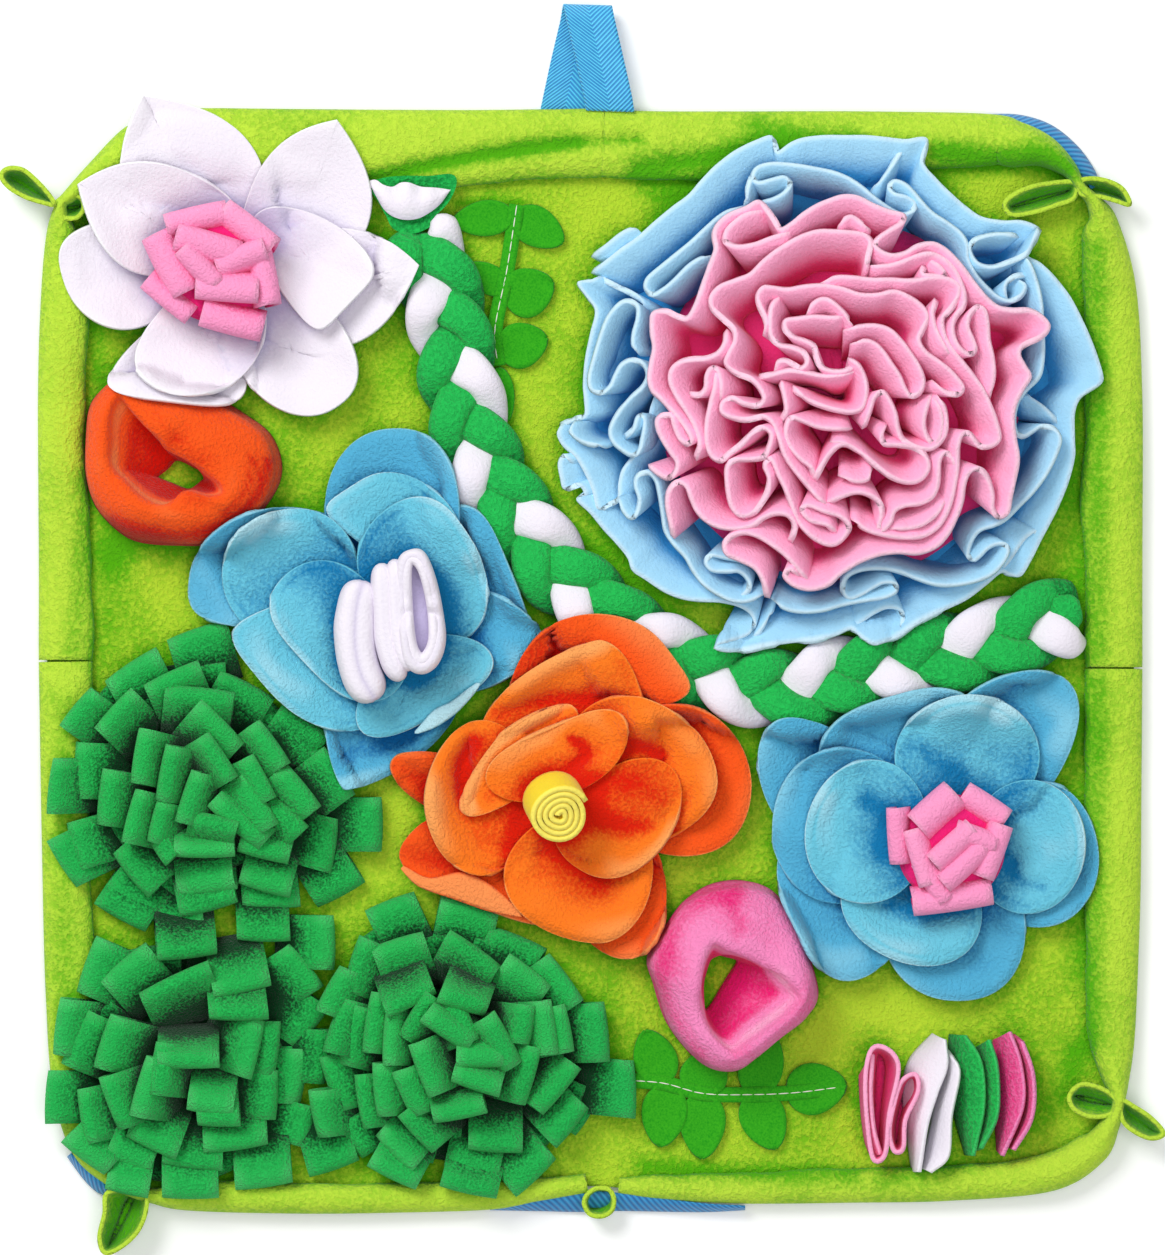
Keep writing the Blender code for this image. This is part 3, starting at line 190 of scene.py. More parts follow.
def drape(x, y, wished, gap=0.6, closed=False, reach=3, rounds=24):
    """Lift of a sheet over what lies under it: never below it, and as smooth as that allows."""
    needed = support(x, y, reach) + gap + CLOTH
    z = np.maximum(needed, wished)
    for _ in range(rounds):
        wide = np.pad(z, 1, mode="edge")
        if closed:
            wide[:, 0], wide[:, -1] = wide[:, -2], wide[:, 1]
        mean = (wide[:-2, 1:-1] + wide[2:, 1:-1] + wide[1:-1, :-2] + wide[1:-1, 2:]) / 4
        z = np.maximum(needed, np.where(z > wished + 0.05, mean, z))
    return z


# %% [markdown]
# A finish is written as sums on colours and masks. A small class wraps one output of a node, so that
# `nap * 0.4 + spots` adds the Math nodes by itself.

# %% Shader arithmetic
class Wire:
    """One output socket in a finish. Arithmetic on it adds Math nodes."""

    def __init__(self, finish, socket):
        self.finish, self.socket = finish, socket

    def _math(self, operation, first, second):
        return self.finish.node("ShaderNodeMath", {"operation": operation}, {0: first, 1: second})

    def __add__(self, other):
        return self._math("ADD", self, other)

    def __radd__(self, other):
        return self._math("ADD", other, self)

    def __sub__(self, other):
        return self._math("SUBTRACT", self, other)

    def __rsub__(self, other):
        return self._math("SUBTRACT", other, self)

    def __mul__(self, other):
        return self._math("MULTIPLY", self, other)

    def __rmul__(self, other):
        return self._math("MULTIPLY", other, self)

    def __pow__(self, other):
        return self._math("POWER", self, other)

    def between(self, low, high):
        """0 below low, 1 above high, and smooth between."""
        settings = {"interpolation_type": "SMOOTHSTEP"}
        return self.finish.node("ShaderNodeMapRange", settings, {0: self, 1: low, 2: high, 3: 0.0, 4: 1.0})


class Finish:
    """A material in the making: its nodes, and the Principled shader at the end."""

    def __init__(self, name, **sockets):
        self.material = bpy.data.materials.new(name)
        self.material.use_nodes = True
        self.tree = self.material.node_tree
        self.shader = self.tree.nodes["Principled BSDF"]
        for key, value in sockets.items():
            self.shader.inputs[key.replace("_", " ")].default_value = value

    def node(self, kind, settings=None, inputs=None, out=0):
        made = self.tree.nodes.new(kind)
        for key, value in (settings or {}).items():
            setattr(made, key, value)
        for key, value in (inputs or {}).items():
            self.feed(made.inputs[key], value)
        return Wire(self, made.outputs[out])

    def feed(self, socket, value):
        if isinstance(value, Wire):
            self.tree.links.new(value.socket, socket)
        else:
            socket.default_value = value

    def place(self):
        """The piece's own coordinates, in metres."""
        return self.node("ShaderNodeTexCoord", out=3)

    def attribute(self, name):
        return self.node("ShaderNodeAttribute", {"attribute_name": name}, out=2)

    def noise(self, size, detail=2.0, rough=0.5, seed=0.0):
        """Noise of about `size` mm, from 0 to 1."""
        inputs = {"Vector": self.place(), "W": seed, "Scale": 1 / (size * MM), "Detail": detail,
                  "Roughness": rough}
        return self.node("ShaderNodeTexNoise", {"noise_dimensions": "4D"}, inputs)

    def mix(self, share, first, second):
        """Blend of two colours."""
        return self.node("ShaderNodeMix", {"data_type": "RGBA"}, {0: share, 6: first, 7: second}, out=2)

    def bump(self, height, distance, strength=1.0):
        """Small relief, `distance` mm from its lowest to its highest."""
        inputs = {"Height": height, "Distance": distance * MM, "Strength": strength}
        self.feed(self.shader.inputs["Normal"], self.node("ShaderNodeBump", {}, inputs))

    def colour(self, value):
        self.feed(self.shader.inputs["Base Color"], value)


def linear(r, g, b):
    """An everyday colour from 0 to 255 to the light values that Blender works in."""
    c = np.array([r, g, b], float) / 255
    c = np.where(c <= 0.04045, c / 12.92, ((c + 0.055) / 1.055) ** 2.4)
    return (*c.tolist(), 1.0)


# %% [markdown]
# Polar fleece is brushed on both faces, so its surface is a close pile of little curls: pebbly where it
# is lit from the side, matt, with a soft pale bloom at grazing angles. A cut edge is paler than the face.
# Two sizes of noise make the curls, the Sheen sockets make the bloom, and each mesh carries a `tone` that
# paints shade and light into the colour: from -1, full painted shade in folds, hollows and under other
# cloth, to 1, a pale cut edge with a painted highlight.

# %% Fleece
def fleece(name, face, deep, pale, curl=1.5, grain=0.30, relief=0.35, bloom=0.12, spots=0.35, seed=0.0):
    """Brushed fleece: face colour, colour of the painted shade in folds and hollows, and colour of the pale
    cut edge and of painted highlights; curls of `curl` mm.
    """
    f = Finish(name, Roughness=0.95, Sheen_Weight=bloom, Sheen_Roughness=0.45, Specular_IOR_Level=0.15)
    curls = f.noise(curl, 2.5, 0.6, seed).between(0.32, 0.68)
    drift = f.noise(38.0, 2.0, 0.5, seed + 3).between(0.3, 0.7)
    tone = f.attribute("tone")
    # the tone attribute paints shade (below 0) and light (above 0.25, up to the pale colour) into the colour;
    # curls and drift are grain and random mottling
    shade = (1 - curls) * grain + drift * spots * 0.35 + tone * -1.0
    body = f.mix(shade.between(0.0, 1.0), linear(*face), linear(*deep))
    f.colour(f.mix(tone.between(0.25, 1.0) * 0.85, body, linear(*pale)))
    f.bump(curls + f.noise(curl * 0.45, 1.0, 0.5, seed + 7) * 0.5, relief)
    return f.material


def felt(name, face, deep):
    """Pressed felt: flat, with a fine short grain."""
    f = Finish(name, Roughness=0.95, Sheen_Weight=0.1, Specular_IOR_Level=0.1)
    grain = f.noise(0.9, 3.0, 0.7)
    f.colour(f.mix(grain.between(0.35, 0.75), linear(*face), linear(*deep)))
    f.bump(grain, 0.12)
    return f.material


def webbing(name, face, deep, rib=1.15, herringbone=True):
    """Woven polyester tape. Ribs lean one way on one half and the other way on the other half."""
    f = Finish(name, Roughness=0.55, Sheen_Weight=0.15, Specular_IOR_Level=0.4)
    uv = f.node("ShaderNodeUVMap", {"uv_map": "along_across"})
    split = f.node("ShaderNodeSeparateXYZ", {}, {0: uv})
    along, across = split, Wire(f, split.socket.node.outputs[1])
    lean = f.node("ShaderNodeMath", {"operation": "ABSOLUTE"}, {0: across}) if herringbone else across
    phase = (along + lean * 0.9) * (2 * math.pi / (rib * MM))
    ribs = f.node("ShaderNodeMath", {"operation": "SINE"}, {0: phase}) * 0.5 + 0.5
    f.colour(f.mix(ribs * 0.75 + f.noise(6.0) * 0.3, linear(*deep), linear(*face)))
    f.bump(ribs, 0.35)
    return f.material


LIME = fleece("lime_fleece", (182, 216, 50), (82, 172, 6), (214, 242, 98), curl=1.9, grain=0.36,
              relief=0.55, spots=0.7)
LIP = fleece("lime_lip_fleece", (186, 222, 62), (80, 170, 10), (212, 240, 106), curl=1.9,
             grain=0.34, relief=0.5, spots=0.7, seed=2.0)
BUSH = fleece("bush_fleece", (34, 192, 86), (0, 66, 28), (96, 230, 130), curl=1.1, grain=0.6, relief=0.7)
PLAIT = fleece("plait_green_fleece", (36, 190, 84), (2, 104, 44), (70, 208, 112), curl=1.7, grain=0.45,
               relief=0.6)
WHITE = fleece("white_fleece", (238, 232, 242), (186, 176, 210), (252, 250, 254), grain=0.07,
               relief=0.16, spots=0.0)
PINK_LOOP = fleece("pink_fleece", (252, 154, 200), (232, 36, 122), (255, 190, 218), curl=1.4, grain=0.35)
ROSE = fleece("rose_pink_fleece", (255, 172, 208), (232, 56, 128), (255, 212, 230), grain=0.10, relief=0.22)
MAGENTA = fleece("magenta_fleece", (250, 140, 194), (234, 24, 118), (255, 190, 220), grain=0.25, relief=0.5)
SKY = fleece("sky_fleece", (162, 214, 242), (52, 144, 204), (212, 238, 250), grain=0.08, relief=0.18)
BLUE = fleece("blue_fleece", (108, 200, 224), (10, 118, 172), (196, 234, 244), grain=0.30, relief=0.45)
DEEP_BLUE = fleece("deep_blue_fleece", (84, 176, 214), (8, 100, 164), (150, 214, 234), grain=0.30,
                   relief=0.45)
ORANGE = fleece("orange_fleece", (255, 124, 30), (220, 28, 0), (255, 174, 100), grain=0.30, relief=0.45)
RED_ORANGE = fleece("red_orange_fleece", (252, 90, 24), (210, 18, 0), (255, 156, 88), grain=0.30, relief=0.5)
YELLOW = fleece("yellow_fleece", (255, 226, 44), (246, 170, 0), (255, 240, 110), grain=0.10, relief=0.15)
LEAF = felt("leaf_felt", (58, 170, 28), (24, 140, 20))
TAPE = webbing("blue_webbing", (96, 218, 255), (0, 104, 192), rib=1.9)
BAND = webbing("blue_binding", (60, 164, 222), (8, 92, 164), rib=3.0, herringbone=False)
THREAD = Finish("white_thread", Base_Color=linear(240, 240, 226), Roughness=0.6).material
print("made", len(bpy.data.materials), "materials with those of the frame")

# %% [markdown]
# Every piece is one or more patches: a grid of points, a tone for each point, and a note if the grid
# closes on itself or has a closed middle. One function turns them into a mesh, lets Solidify give
# the cloth its thickness, and hides the CAD solid that it stands for.

# %% Patches to pieces
def patch(points, tone=0.0, closed=False, capped=False, uv=None):
    """A grid of points (rows, columns, 3) in mm; `closed` joins the last column to the first."""
    points = np.asarray(points, float)
    tones = np.broadcast_to(tone, points.shape[:2])
    return {"points": points, "tone": tones, "closed": closed, "capped": capped, "uv": uv}


def grid(x, y, z):
    """Three arrays of the same shape as one array of points."""
    return np.stack([x, y, z], -1)


def lifted(plan, z, tone=0.0, **form):
    """A patch from a grid of plan points and their heights."""
    return patch(np.concatenate([plan, z[..., None]], -1), tone, **form)


def quads(rows, columns, closed):
    """Corner numbers of each quad of a grid."""
    i, j = np.meshgrid(np.arange(rows - 1), np.arange(columns if closed else columns - 1), indexing="ij")
    k = (j + 1) % columns
    return np.stack([i * columns + j, (i + 1) * columns + j,
                     (i + 1) * columns + k, i * columns + k], -1).reshape(-1, 4)


def piece(name, patches, finish, thickness=CLOTH, side=0.0, upward=False, stands_in=True):
    """One object from its patches, in place of the node of the same name unless it only adds to the model.
    side: 0 thickens both ways, -1 against the faces' normals. upward: all faces look up."""
    vertices, tones, faces, first = [], [], [], 0
    for p in patches:
        rows, columns = p["points"].shape[:2]
        flat = p["points"].reshape(-1, 3)
        corners = quads(rows, columns, p["closed"])
        extra = [np.arange(columns)[::-1]] if p["capped"] else []
        if upward:
            a, b, c = (flat[corners[:, k]] for k in (0, 1, 2))
            if np.cross(b - a, c - a)[:, 2].sum() < 0:
                corners, extra = corners[:, ::-1], [e[::-1] for e in extra]
        faces += (corners + first).tolist() + [(e + first).tolist() for e in extra]
        vertices.append(flat)
        tones.append(p["tone"].reshape(-1))
        first += len(flat)
    mesh = bpy.data.meshes.new(name + "_cloth")
    mesh.from_pydata((np.vstack(vertices) * MM).tolist(), [], faces)
    mesh.attributes.new("tone", "FLOAT", "POINT").data.foreach_set("value", np.concatenate(tones))
    if patches[0]["uv"] is not None:
        at = np.vstack([p["uv"].reshape(-1, 2) for p in patches])
        corner = np.empty(len(mesh.loops), dtype=np.int32)
        mesh.loops.foreach_get("vertex_index", corner)
        mesh.uv_layers.new(name="along_across").data.foreach_set("uv", at[corner].ravel())
    mesh.polygons.foreach_set("use_smooth", [True] * len(mesh.polygons))
    mesh.materials.append(finish)
    made = bpy.data.objects.new(name + "_cloth", mesh)
    bpy.context.scene.collection.objects.link(made)
    if thickness:
        shell = made.modifiers.new("cloth_thickness", "SOLIDIFY")
        shell.thickness, shell.offset = thickness * MM, side
    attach(made, "root")
    if stands_in:
        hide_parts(name)
        PIECES.append(made)
    return made


def face_area(made):
    """Area of the cloth's middle face in square metres."""
    areas = np.empty(len(made.data.polygons))
    made.data.polygons.foreach_get("area", areas)
    return float(areas.sum())


CUTS = []
PIECES = []


def cut_from(made, width, share=1.0, sides=1):
    area = face_area(made) / sides
    flat = (width * MM, area / (width * MM) / share)
    CUTS.append((made.name, round(flat[0] / MM), round(flat[1] / MM)))


# %% [markdown]
# The base is a flat square of fleece. It lies on the table, a little loose, so that it swells; its few soft
# creases are only painted in on it as shade. Rings of points from the middle out to the rounded outline
# follow it with no seam.

# %% Outline and base cloth
# page u, page v, width of the lip in mm, height of the lip in mm
LIP_TOP_LEFT = [
    (43, 660, 21, 10), (43, 560, 21, 10), (42, 400, 19, 11), (45, 300, 20, 12), (50, 236, 13, 14),
    (58, 206, 4, 16), (66, 195, 4, 16), (92, 166, 10, 15), (127, 131, 16, 14), (160, 118, 22, 13),
    (195, 113, 27, 12), (300, 114, 31, 11), (450, 115, 31, 11), (545, 114, 30, 11), (605, 113, 29, 12),
]
LIP_TOP_RIGHT = [
    (605, 113, 29, 12), (660, 116, 29, 11), (850, 116, 27, 11), (985, 118, 22, 13), (1020, 126, 19, 15),
    (1050, 141, 13, 17), (1072, 165, 6, 18), (1082, 186, 3, 18), (1098, 200, 6, 17), (1114, 222, 15, 15),
    (1132, 290, 22, 12), (1138, 400, 24, 11), (1138, 520, 24, 11), (1138, 667, 24, 10),
]
LIP_BOTTOM_RIGHT = [
    (1138, 669, 24, 10), (1137, 800, 23, 10), (1136, 900, 22, 11), (1131, 1030, 20, 12), (1125, 1082, 10, 14),
    (1121, 1104, 4, 15), (1116, 1126, 7, 15), (1101, 1158, 13, 14), (1052, 1187, 15, 12), (950, 1197, 14, 11),
    (850, 1199, 13, 10), (740, 1200, 12, 10), (660, 1196, 9, 10), (618, 1191, 6, 10),
]
LIP_BOTTOM_LEFT = [
    (588, 1190, 7, 10), (540, 1198, 9, 10), (490, 1206, 11, 10), (400, 1209, 11, 11), (300, 1210, 12, 11),
    (190, 1207, 11, 12), (152, 1200, 5, 14), (132, 1194, 4, 15), (108, 1182, 8, 14), (76, 1152, 13, 13),
    (57, 1090, 17, 12), (50, 1000, 19, 11), (46, 850, 20, 10), (43, 662, 21, 10),
]
OUTLINE = page([row[:2] for table in (LIP_TOP_LEFT, LIP_TOP_RIGHT, LIP_BOTTOM_RIGHT, LIP_BOTTOM_LEFT)
                for row in table[:-1]])
# page line, width and depth in mm: soft creases, pressed into the lip and painted in as shade on lip and base
HOLLOWS = [
    ([(362, 182), (450, 162), (560, 146), (640, 140)], 3.2, 3.4),
    ([(640, 168), (700, 160), (760, 150)], 4.0, 1.6),
    ([(700, 184), (735, 215), (690, 250)], 5.0, 1.4),
    ([(110, 560), (150, 520), (170, 560)], 8.0, 1.2),
    ([(700, 800), (740, 840), (700, 880)], 6.0, 1.2),
    ([(1000, 980), (1050, 1000), (1075, 960)], 7.0, 1.0),
]


# page line, width mm, height mm, change of tone: where the mat looks deeper or paler. The lines were read
# off the page; all widths were then widened by one factor, and all tones weakened by another.
# negative tones are painted shade in hollows, along creases and beside other pieces; positive ones are
# painted light on raised places
SHADES = [
    ([(1097, 250), (1099, 450), (1099, 655)], 5.6, 0, -0.54),
    ([(1099, 685), (1098, 900), (1092, 1040)], 5.6, 0, -0.47),
    ([(1078, 250), (1078, 640), (1076, 1050)], 6.7, 0, -0.22),
    ([(70, 232), (92, 310), (100, 372)], 5.6, 0, -0.43),
    ([(84, 480), (80, 560), (72, 650)], 5.0, 0, -0.40),
    ([(110, 560), (108, 610), (100, 655)], 9.0, 0, -0.32),
    ([(122, 545), (150, 520), (176, 545)], 10.1, 0, -0.29),
    ([(66, 700), (64, 860), (70, 1040)], 5.6, 0, -0.32),
    ([(376, 178), (440, 163), (500, 152), (575, 142)], 4.7, 0, -0.61),
    ([(640, 170), (700, 160), (780, 150)], 7.8, 0, -0.61),
    ([(755, 128), (800, 136), (850, 140)], 6.7, 0, -0.50),
    ([(455, 204), (490, 202), (524, 203)], 2.5, 0, -0.50),
    ([(650, 190), (690, 200), (715, 230)], 7.8, 0, -0.36),
    ([(940, 152), (1000, 160), (1040, 158), (1064, 172)], 6.2, 0, -0.86),
    ([(640, 1166), (740, 1172), (850, 1176)], 5.0, 0, -0.50),
    ([(880, 1180), (950, 1168), (1005, 1150)], 4.5, 0, -0.32),
    ([(1040, 1120), (1066, 1090), (1076, 1050)], 6.7, 0, -0.36),
    ([(370, 420), (390, 380), (400, 340)], 11.2, 0, -0.25),
    ([(500, 470), (560, 540), (620, 590)], 13.4, 0, -0.22),
    ([(300, 430), (290, 470), (260, 520)], 11.2, 0, -0.22),
    ([(640, 870), (625, 920), (620, 980)], 10.1, 0, -0.22),
    ([(880, 1040), (870, 1090), (872, 1130)], 6.7, 0, -0.32),
    ([(1010, 1020), (1018, 1080), (1005, 1120)], 6.7, 0, -0.22),
    ([(330, 450), (340, 430), (350, 405)], 9.0, 0, 0.18),
    ([(150, 580), (180, 600), (160, 640)], 11.2, 0, 0.14),
    ([(820, 1050), (850, 1010), (940, 1020)], 13.4, 0, 0.16),
    ([(690, 760), (720, 800), (700, 850)], 11.2, 0, 0.13),
    ([(520, 330), (540, 400), (530, 450)], 10.1, 0, 0.14),
]


def creases(x, y):
    """How deep the soft creases lie at each plan point. The lip is pressed down by it, and the lip and the
    base take it as painted shade.
    """
    return folds_at([(*row, 0) for row in HOLLOWS], x, y)[0]


def base_cloth():
    """Rings of points from the middle to the outline; the height is a slow seeded swell of under 1 mm."""
    rim = smooth(OUTLINE, 260, closed=True)
    shares = np.concatenate([np.linspace(0.01, 0.88, 60), np.linspace(0.88, 1.0, 24)[1:]])
    inset = rim + normals_of(rim, closed=True) * 2.0
    x = inset[None, :, 0] * shares[:, None]
    y = inset[None, :, 1] * shares[:, None]
    swell = ripple(x * 0.045 + y * 0.02, 5) + ripple(y * 0.05 - x * 0.03, 6)
    z = FLOOR_OF_MAT + 0.55 + 0.6 * np.clip(swell, -0.8, 1.6)
    points = grid(x, y, z)
    # darker where the swell rises, painted shade in the creases, and the painted shade and light of SHADES
    tone = -0.16 * np.clip(swell, -1, 1) - 0.12 * creases(x, y) + folds_at(SHADES, x, y)[1]
    return points, tone


points, tone = base_cloth()
base = piece("base_panel", [patch(points, tone, closed=True, capped=True)], LIME, side=-1.0, upward=True)
settle(points, closed=True)
cut_from(base, 500)
print("base cloth:", len(points) * points.shape[1], "points")

# %% [markdown]
# The lip is a second strip sewn flat round the edge. It puffs up into a soft, flattened tube with a crease
# along its inner side, darkened with painted shade. At each corner the spare cloth is pinched out into one
# or two ears.
# One cross-section is carried along each quarter of the outline, with width and height from the tables.

# %% The lip and its ears
# share of the width in from the outline, share of the height
LIP_SECTION = [
    (0.05, 0.00), (-0.01, 0.14), (-0.03, 0.34), (0.02, 0.58), (0.14, 0.82), (0.30, 0.97), (0.46, 1.00),
    (0.62, 0.97), (0.78, 0.86), (0.92, 0.66), (1.00, 0.40), (1.00, 0.20), (0.94, 0.06),
]
# page points round the rim of each ear, and its height in mm
EARS = {
    "top_left": [
        ([(56, 206), (44, 204), (26, 198), (10, 188), (3, 177), (10, 170), (24, 171), (36, 180), (50, 195)],
         17),
        ([(58, 204), (66, 198), (76, 196), (84, 201), (85, 211), (78, 219), (66, 219), (59, 212)], 15)],
    "top_right": [
        ([(1078, 183), (1092, 180), (1110, 184), (1122, 192), (1128, 206), (1116, 203), (1098, 198),
          (1080, 196)], 17),
        ([(1074, 184), (1052, 184), (1024, 190), (1004, 203), (1010, 216), (1034, 213), (1056, 206),
          (1073, 199)], 14)],
    "bottom_right": [
        ([(1119, 1099), (1134, 1106), (1150, 1117), (1162, 1132), (1150, 1137), (1134, 1131), (1121, 1119)],
         15),
        ([(1118, 1106), (1106, 1114), (1088, 1115), (1072, 1107), (1068, 1094), (1080, 1083), (1100, 1087),
          (1114, 1097)], 14)],
    "bottom_left": [
        ([(110, 1190), (106, 1212), (101, 1236), (107, 1251), (124, 1244), (140, 1228), (148, 1206),
          (144, 1189)], 17)],
}


def pocket(rim, low, high, squeeze=0.25, rows=10, count=72, sag=0.0, rim_tone=0.85, hollow_shade=-1.0):
    """A loop of cloth seen from above: the rim follows the page outline, the sides close towards the rim's
    long axis on the way down, to `squeeze` of their distance from it, so the hollow is shut. Its inside
    is painted in shade, deepest at the bottom, and its rim is paler, with a painted highlight."""
    line = smooth(page(rim), count, closed=True)
    middle = line.mean(axis=0)
    along = np.linalg.svd(line - middle)[2][0]
    across = np.array([-along[1], along[0]])
    a, b = (line - middle) @ along, (line - middle) @ across
    t = np.linspace(0, 1, rows)[:, None]
    narrow = squeeze + (1 - squeeze) * np.sin(t * np.pi / 2) ** 0.8
    short = 0.86 + 0.14 * t
    x = middle[0] + along[0] * a * short + across[0] * b * narrow
    y = middle[1] + along[1] * a * short + across[1] * b * narrow
    top = high - sag * (a / np.abs(a).max()) ** 2
    z = low + (top - low) * t**0.9
    # painted highlight on the rim, painted shade deepening down into the hollow
    tone = np.where(t > 0.93, rim_tone, hollow_shade * (1 - t) ** 0.9 + 0.05) + 0 * a
    return patch(grid(x, y, z), tone, closed=True, capped=True)


def lip(table, seed, count=230):
    """Section points at (inward share * width, height share * height) along the outline; both are made
    uneven by seeded sines, and the soft creases press the crown down."""
    rows = np.asarray(table, float)
    line = smooth(np.column_stack([page(rows[:, :2]), rows[:, 2:]]), count)
    inward = normals_of(line)
    run = run_of(line[:, :2])
    width = line[:, 2] * (1 + 0.07 * ripple(run / 30, seed))
    height = line[:, 3] * (1 + 0.10 * ripple(run / 26, seed + 1))
    section = smooth(np.asarray(LIP_SECTION) * (20.0, 10.0), 20) / (20.0, 10.0)
    wander = 0.7 * ripple(run / 12, seed + 2)
    reach = section[None, :, 0] * width[:, None] + (section[None, :, 0] * wander[:, None])
    x, y = beside(line, inward, reach)
    low = FLOOR_OF_MAT + 1.6
    dent = creases(x, y)
    wrinkle = 0.35 * ripple(run / 5.0, seed + 3)[:, None] * np.clip(section[None, :, 1] - 0.4, 0, 1)
    z = low + section[None, :, 1] * np.maximum(height[:, None] - low - dent, 2.0) + wrinkle
    bottom = np.clip(1 - section[None, :, 1] * 1.4, 0, 1)
    # painted light and shade: lighter towards the crown, painted shade low on the inner side and in the
    # creases, and the painted shade and light of SHADES
    tone = 0.22 * (section[None, :, 1] - 0.5) - 0.9 * bottom * (section[None, :, 0] > 0.5) - 0.16 * dent \
        + folds_at(SHADES, x, y)[1]
    return patch(grid(x, y, z), np.broadcast_to(tone, x.shape))


for corner, table, seed in (("top_left", LIP_TOP_LEFT, 11), ("top_right", LIP_TOP_RIGHT, 21),
                            ("bottom_right", LIP_BOTTOM_RIGHT, 31), ("bottom_left", LIP_BOTTOM_LEFT, 41)):
    strips = [lip(table, seed)]
    strips += [pocket(line, 4.0, high, 0.2, rim_tone=0.35) for line, high in EARS[corner]]
    made = piece("border_" + corner, strips, LIP)
    settle(strips[0]["points"])
    cut_from(made, 42)

loop = pocket([(606, 1187), (596, 1187), (587, 1193), (584, 1203), (590, 1213), (602, 1215), (612, 1209),
               (614, 1198), (611, 1190)], 3.0, 11.5, 0.5, rows=7, rim_tone=0.3)
cut_from(piece("edge_loop_bottom", [loop], LIP), 10)
print("lip: 4 strips with", sum(len(ears) for ears in EARS.values()), "ears, and one loop at the bottom")

# %% [markdown]
# Blue herringbone tape makes the handle at the top, a doubled strap that stands up a little where it is
# bent back, and the same tape shows as a thin binding along three stretches of the edge. The pattern is
# drawn from how far a point lies along the tape and across it, so it turns with the tape.

# %% Handle and binding
# page u, page v, height of the tape's middle in mm
HANDLE_PATH = [
    (563, 118, 0.9), (575, 62, 1.1), (585, 20, 1.5), (587, 7, 4.6), (588, 6, 8.6), (590, 18, 11.6),
    (600, 62, 12.0), (608, 98, 11.2), (610, 112, 9.4),
]
TAPE_WIDTH = 22.0               # mm


def tape(path, width, count=90, across=13):
    """A flat tape along a path in space, straight across, with a slightly raised woven edge."""
    rows = np.asarray(path, float)
    spine = np.column_stack([page(rows[:, :2]), rows[:, 2]])
    knots = run_of(spine)
    at = np.linspace(0, knots[-1], count)
    spine = np.stack([np.interp(at, knots, c) for c in spine.T], axis=1)
    kernel = np.array([1, 2, 3, 2, 1]) / 9
    ends = spine[[0, -1]].copy()
    for _ in range(2):
        spine = np.stack([np.convolve(np.pad(c, 2, mode="edge"), kernel, "valid") for c in spine.T], axis=1)
    spine[[0, -1]] = ends
    share = np.linspace(-0.5, 0.5, across)
    run = run_of(spine)
    sideways = np.tile([1.0, -0.03, 0.0], (count, 1))
    points = spine[:, None, :] + sideways[:, None, :] * (share * width)[None, :, None]
    points[..., 2] += 0.25 * (np.abs(share) > 0.45)[None, :]
    uv = np.stack(np.broadcast_arrays(run[:, None] * MM, (share * width * MM)[None, :]), axis=-1)
    return patch(points, 0.0, uv=uv)


def binding(outer, inner, low, high, count=60):
    """A ruled strip between two page lines, rounded over the edge of the lip."""
    a, b = smooth(page(outer), count), smooth(page(inner), count)
    t = np.linspace(0, 1, 7)
    plan = ruled(a, b, t[None])
    z = np.broadcast_to(low + (high - low) * np.sin(t * np.pi / 2)[None, :], plan.shape[:2])
    run = run_of(a)
    uv = np.stack(np.broadcast_arrays(run[:, None] * MM, (t * 8 * MM)[None, :]), axis=-1)
    return lifted(plan, z, 0.0, uv=uv)


strap = piece("handle_strap", [tape(HANDLE_PATH, TAPE_WIDTH)], TAPE, thickness=1.4)
cut_from(strap, TAPE_WIDTH)
BINDINGS = {
    "webbing_band_top_right": binding(
        [(985, 115), (1020, 116), (1051, 126), (1077, 147), (1094, 171), (1098, 186)],
        [(985, 120), (1018, 127), (1045, 139), (1066, 158), (1082, 178), (1090, 190)], 1.5, 8.0),
    "webbing_band_bottom": binding(
        [(490, 1209), (540, 1210), (580, 1211), (620, 1210), (700, 1211), (745, 1209)],
        [(490, 1205), (540, 1198), (580, 1191), (620, 1192), (700, 1202), (745, 1205)], 1.2, 7.5),
    "webbing_band_bottom_left": binding(
        [(68, 1156), (84, 1178), (96, 1190), (104, 1194)],
        [(72, 1152), (90, 1170), (102, 1180), (110, 1186)], 1.5, 8.0),
}
for name, strip in BINDINGS.items():
    cut_from(piece(name, [strip], BAND, thickness=1.0), 10)
print("one handle and", len(BINDINGS), "stretches of binding")

# %% [markdown]
# Two sprigs cut from flat leaf-green felt lie on the base. Each is held by one row of white running
# stitches along its stem. A leaf is a grid that narrows to a point at both ends and cups a little.

# %% Felt sprigs with their stitches
# page root, page tip, width in page squares
SPRIGS = {
    "felt_sprig_top": ([(517, 205), (507, 270), (495, 330), (498, 366)],
                       [(513, 216, 453, 222, 36), (514, 214, 563, 243, 40), (507, 290, 466, 266, 30),
                        (505, 302, 553, 282, 50), (499, 352, 547, 338, 46), (498, 368, 507, 421, 24)]),
    "felt_sprig_bottom":
        ([(634, 1080), (665, 1083), (704, 1093), (753, 1094), (796, 1092), (836, 1087)],
         [(664, 1084, 645, 1030, 44), (668, 1084, 660, 1146, 46), (700, 1095, 708, 1050, 48),
          (703, 1092, 702, 1158, 46), (752, 1094, 772, 1034, 44), (752, 1092, 776, 1148, 46),
          (786, 1092, 846, 1084, 52)]),
}


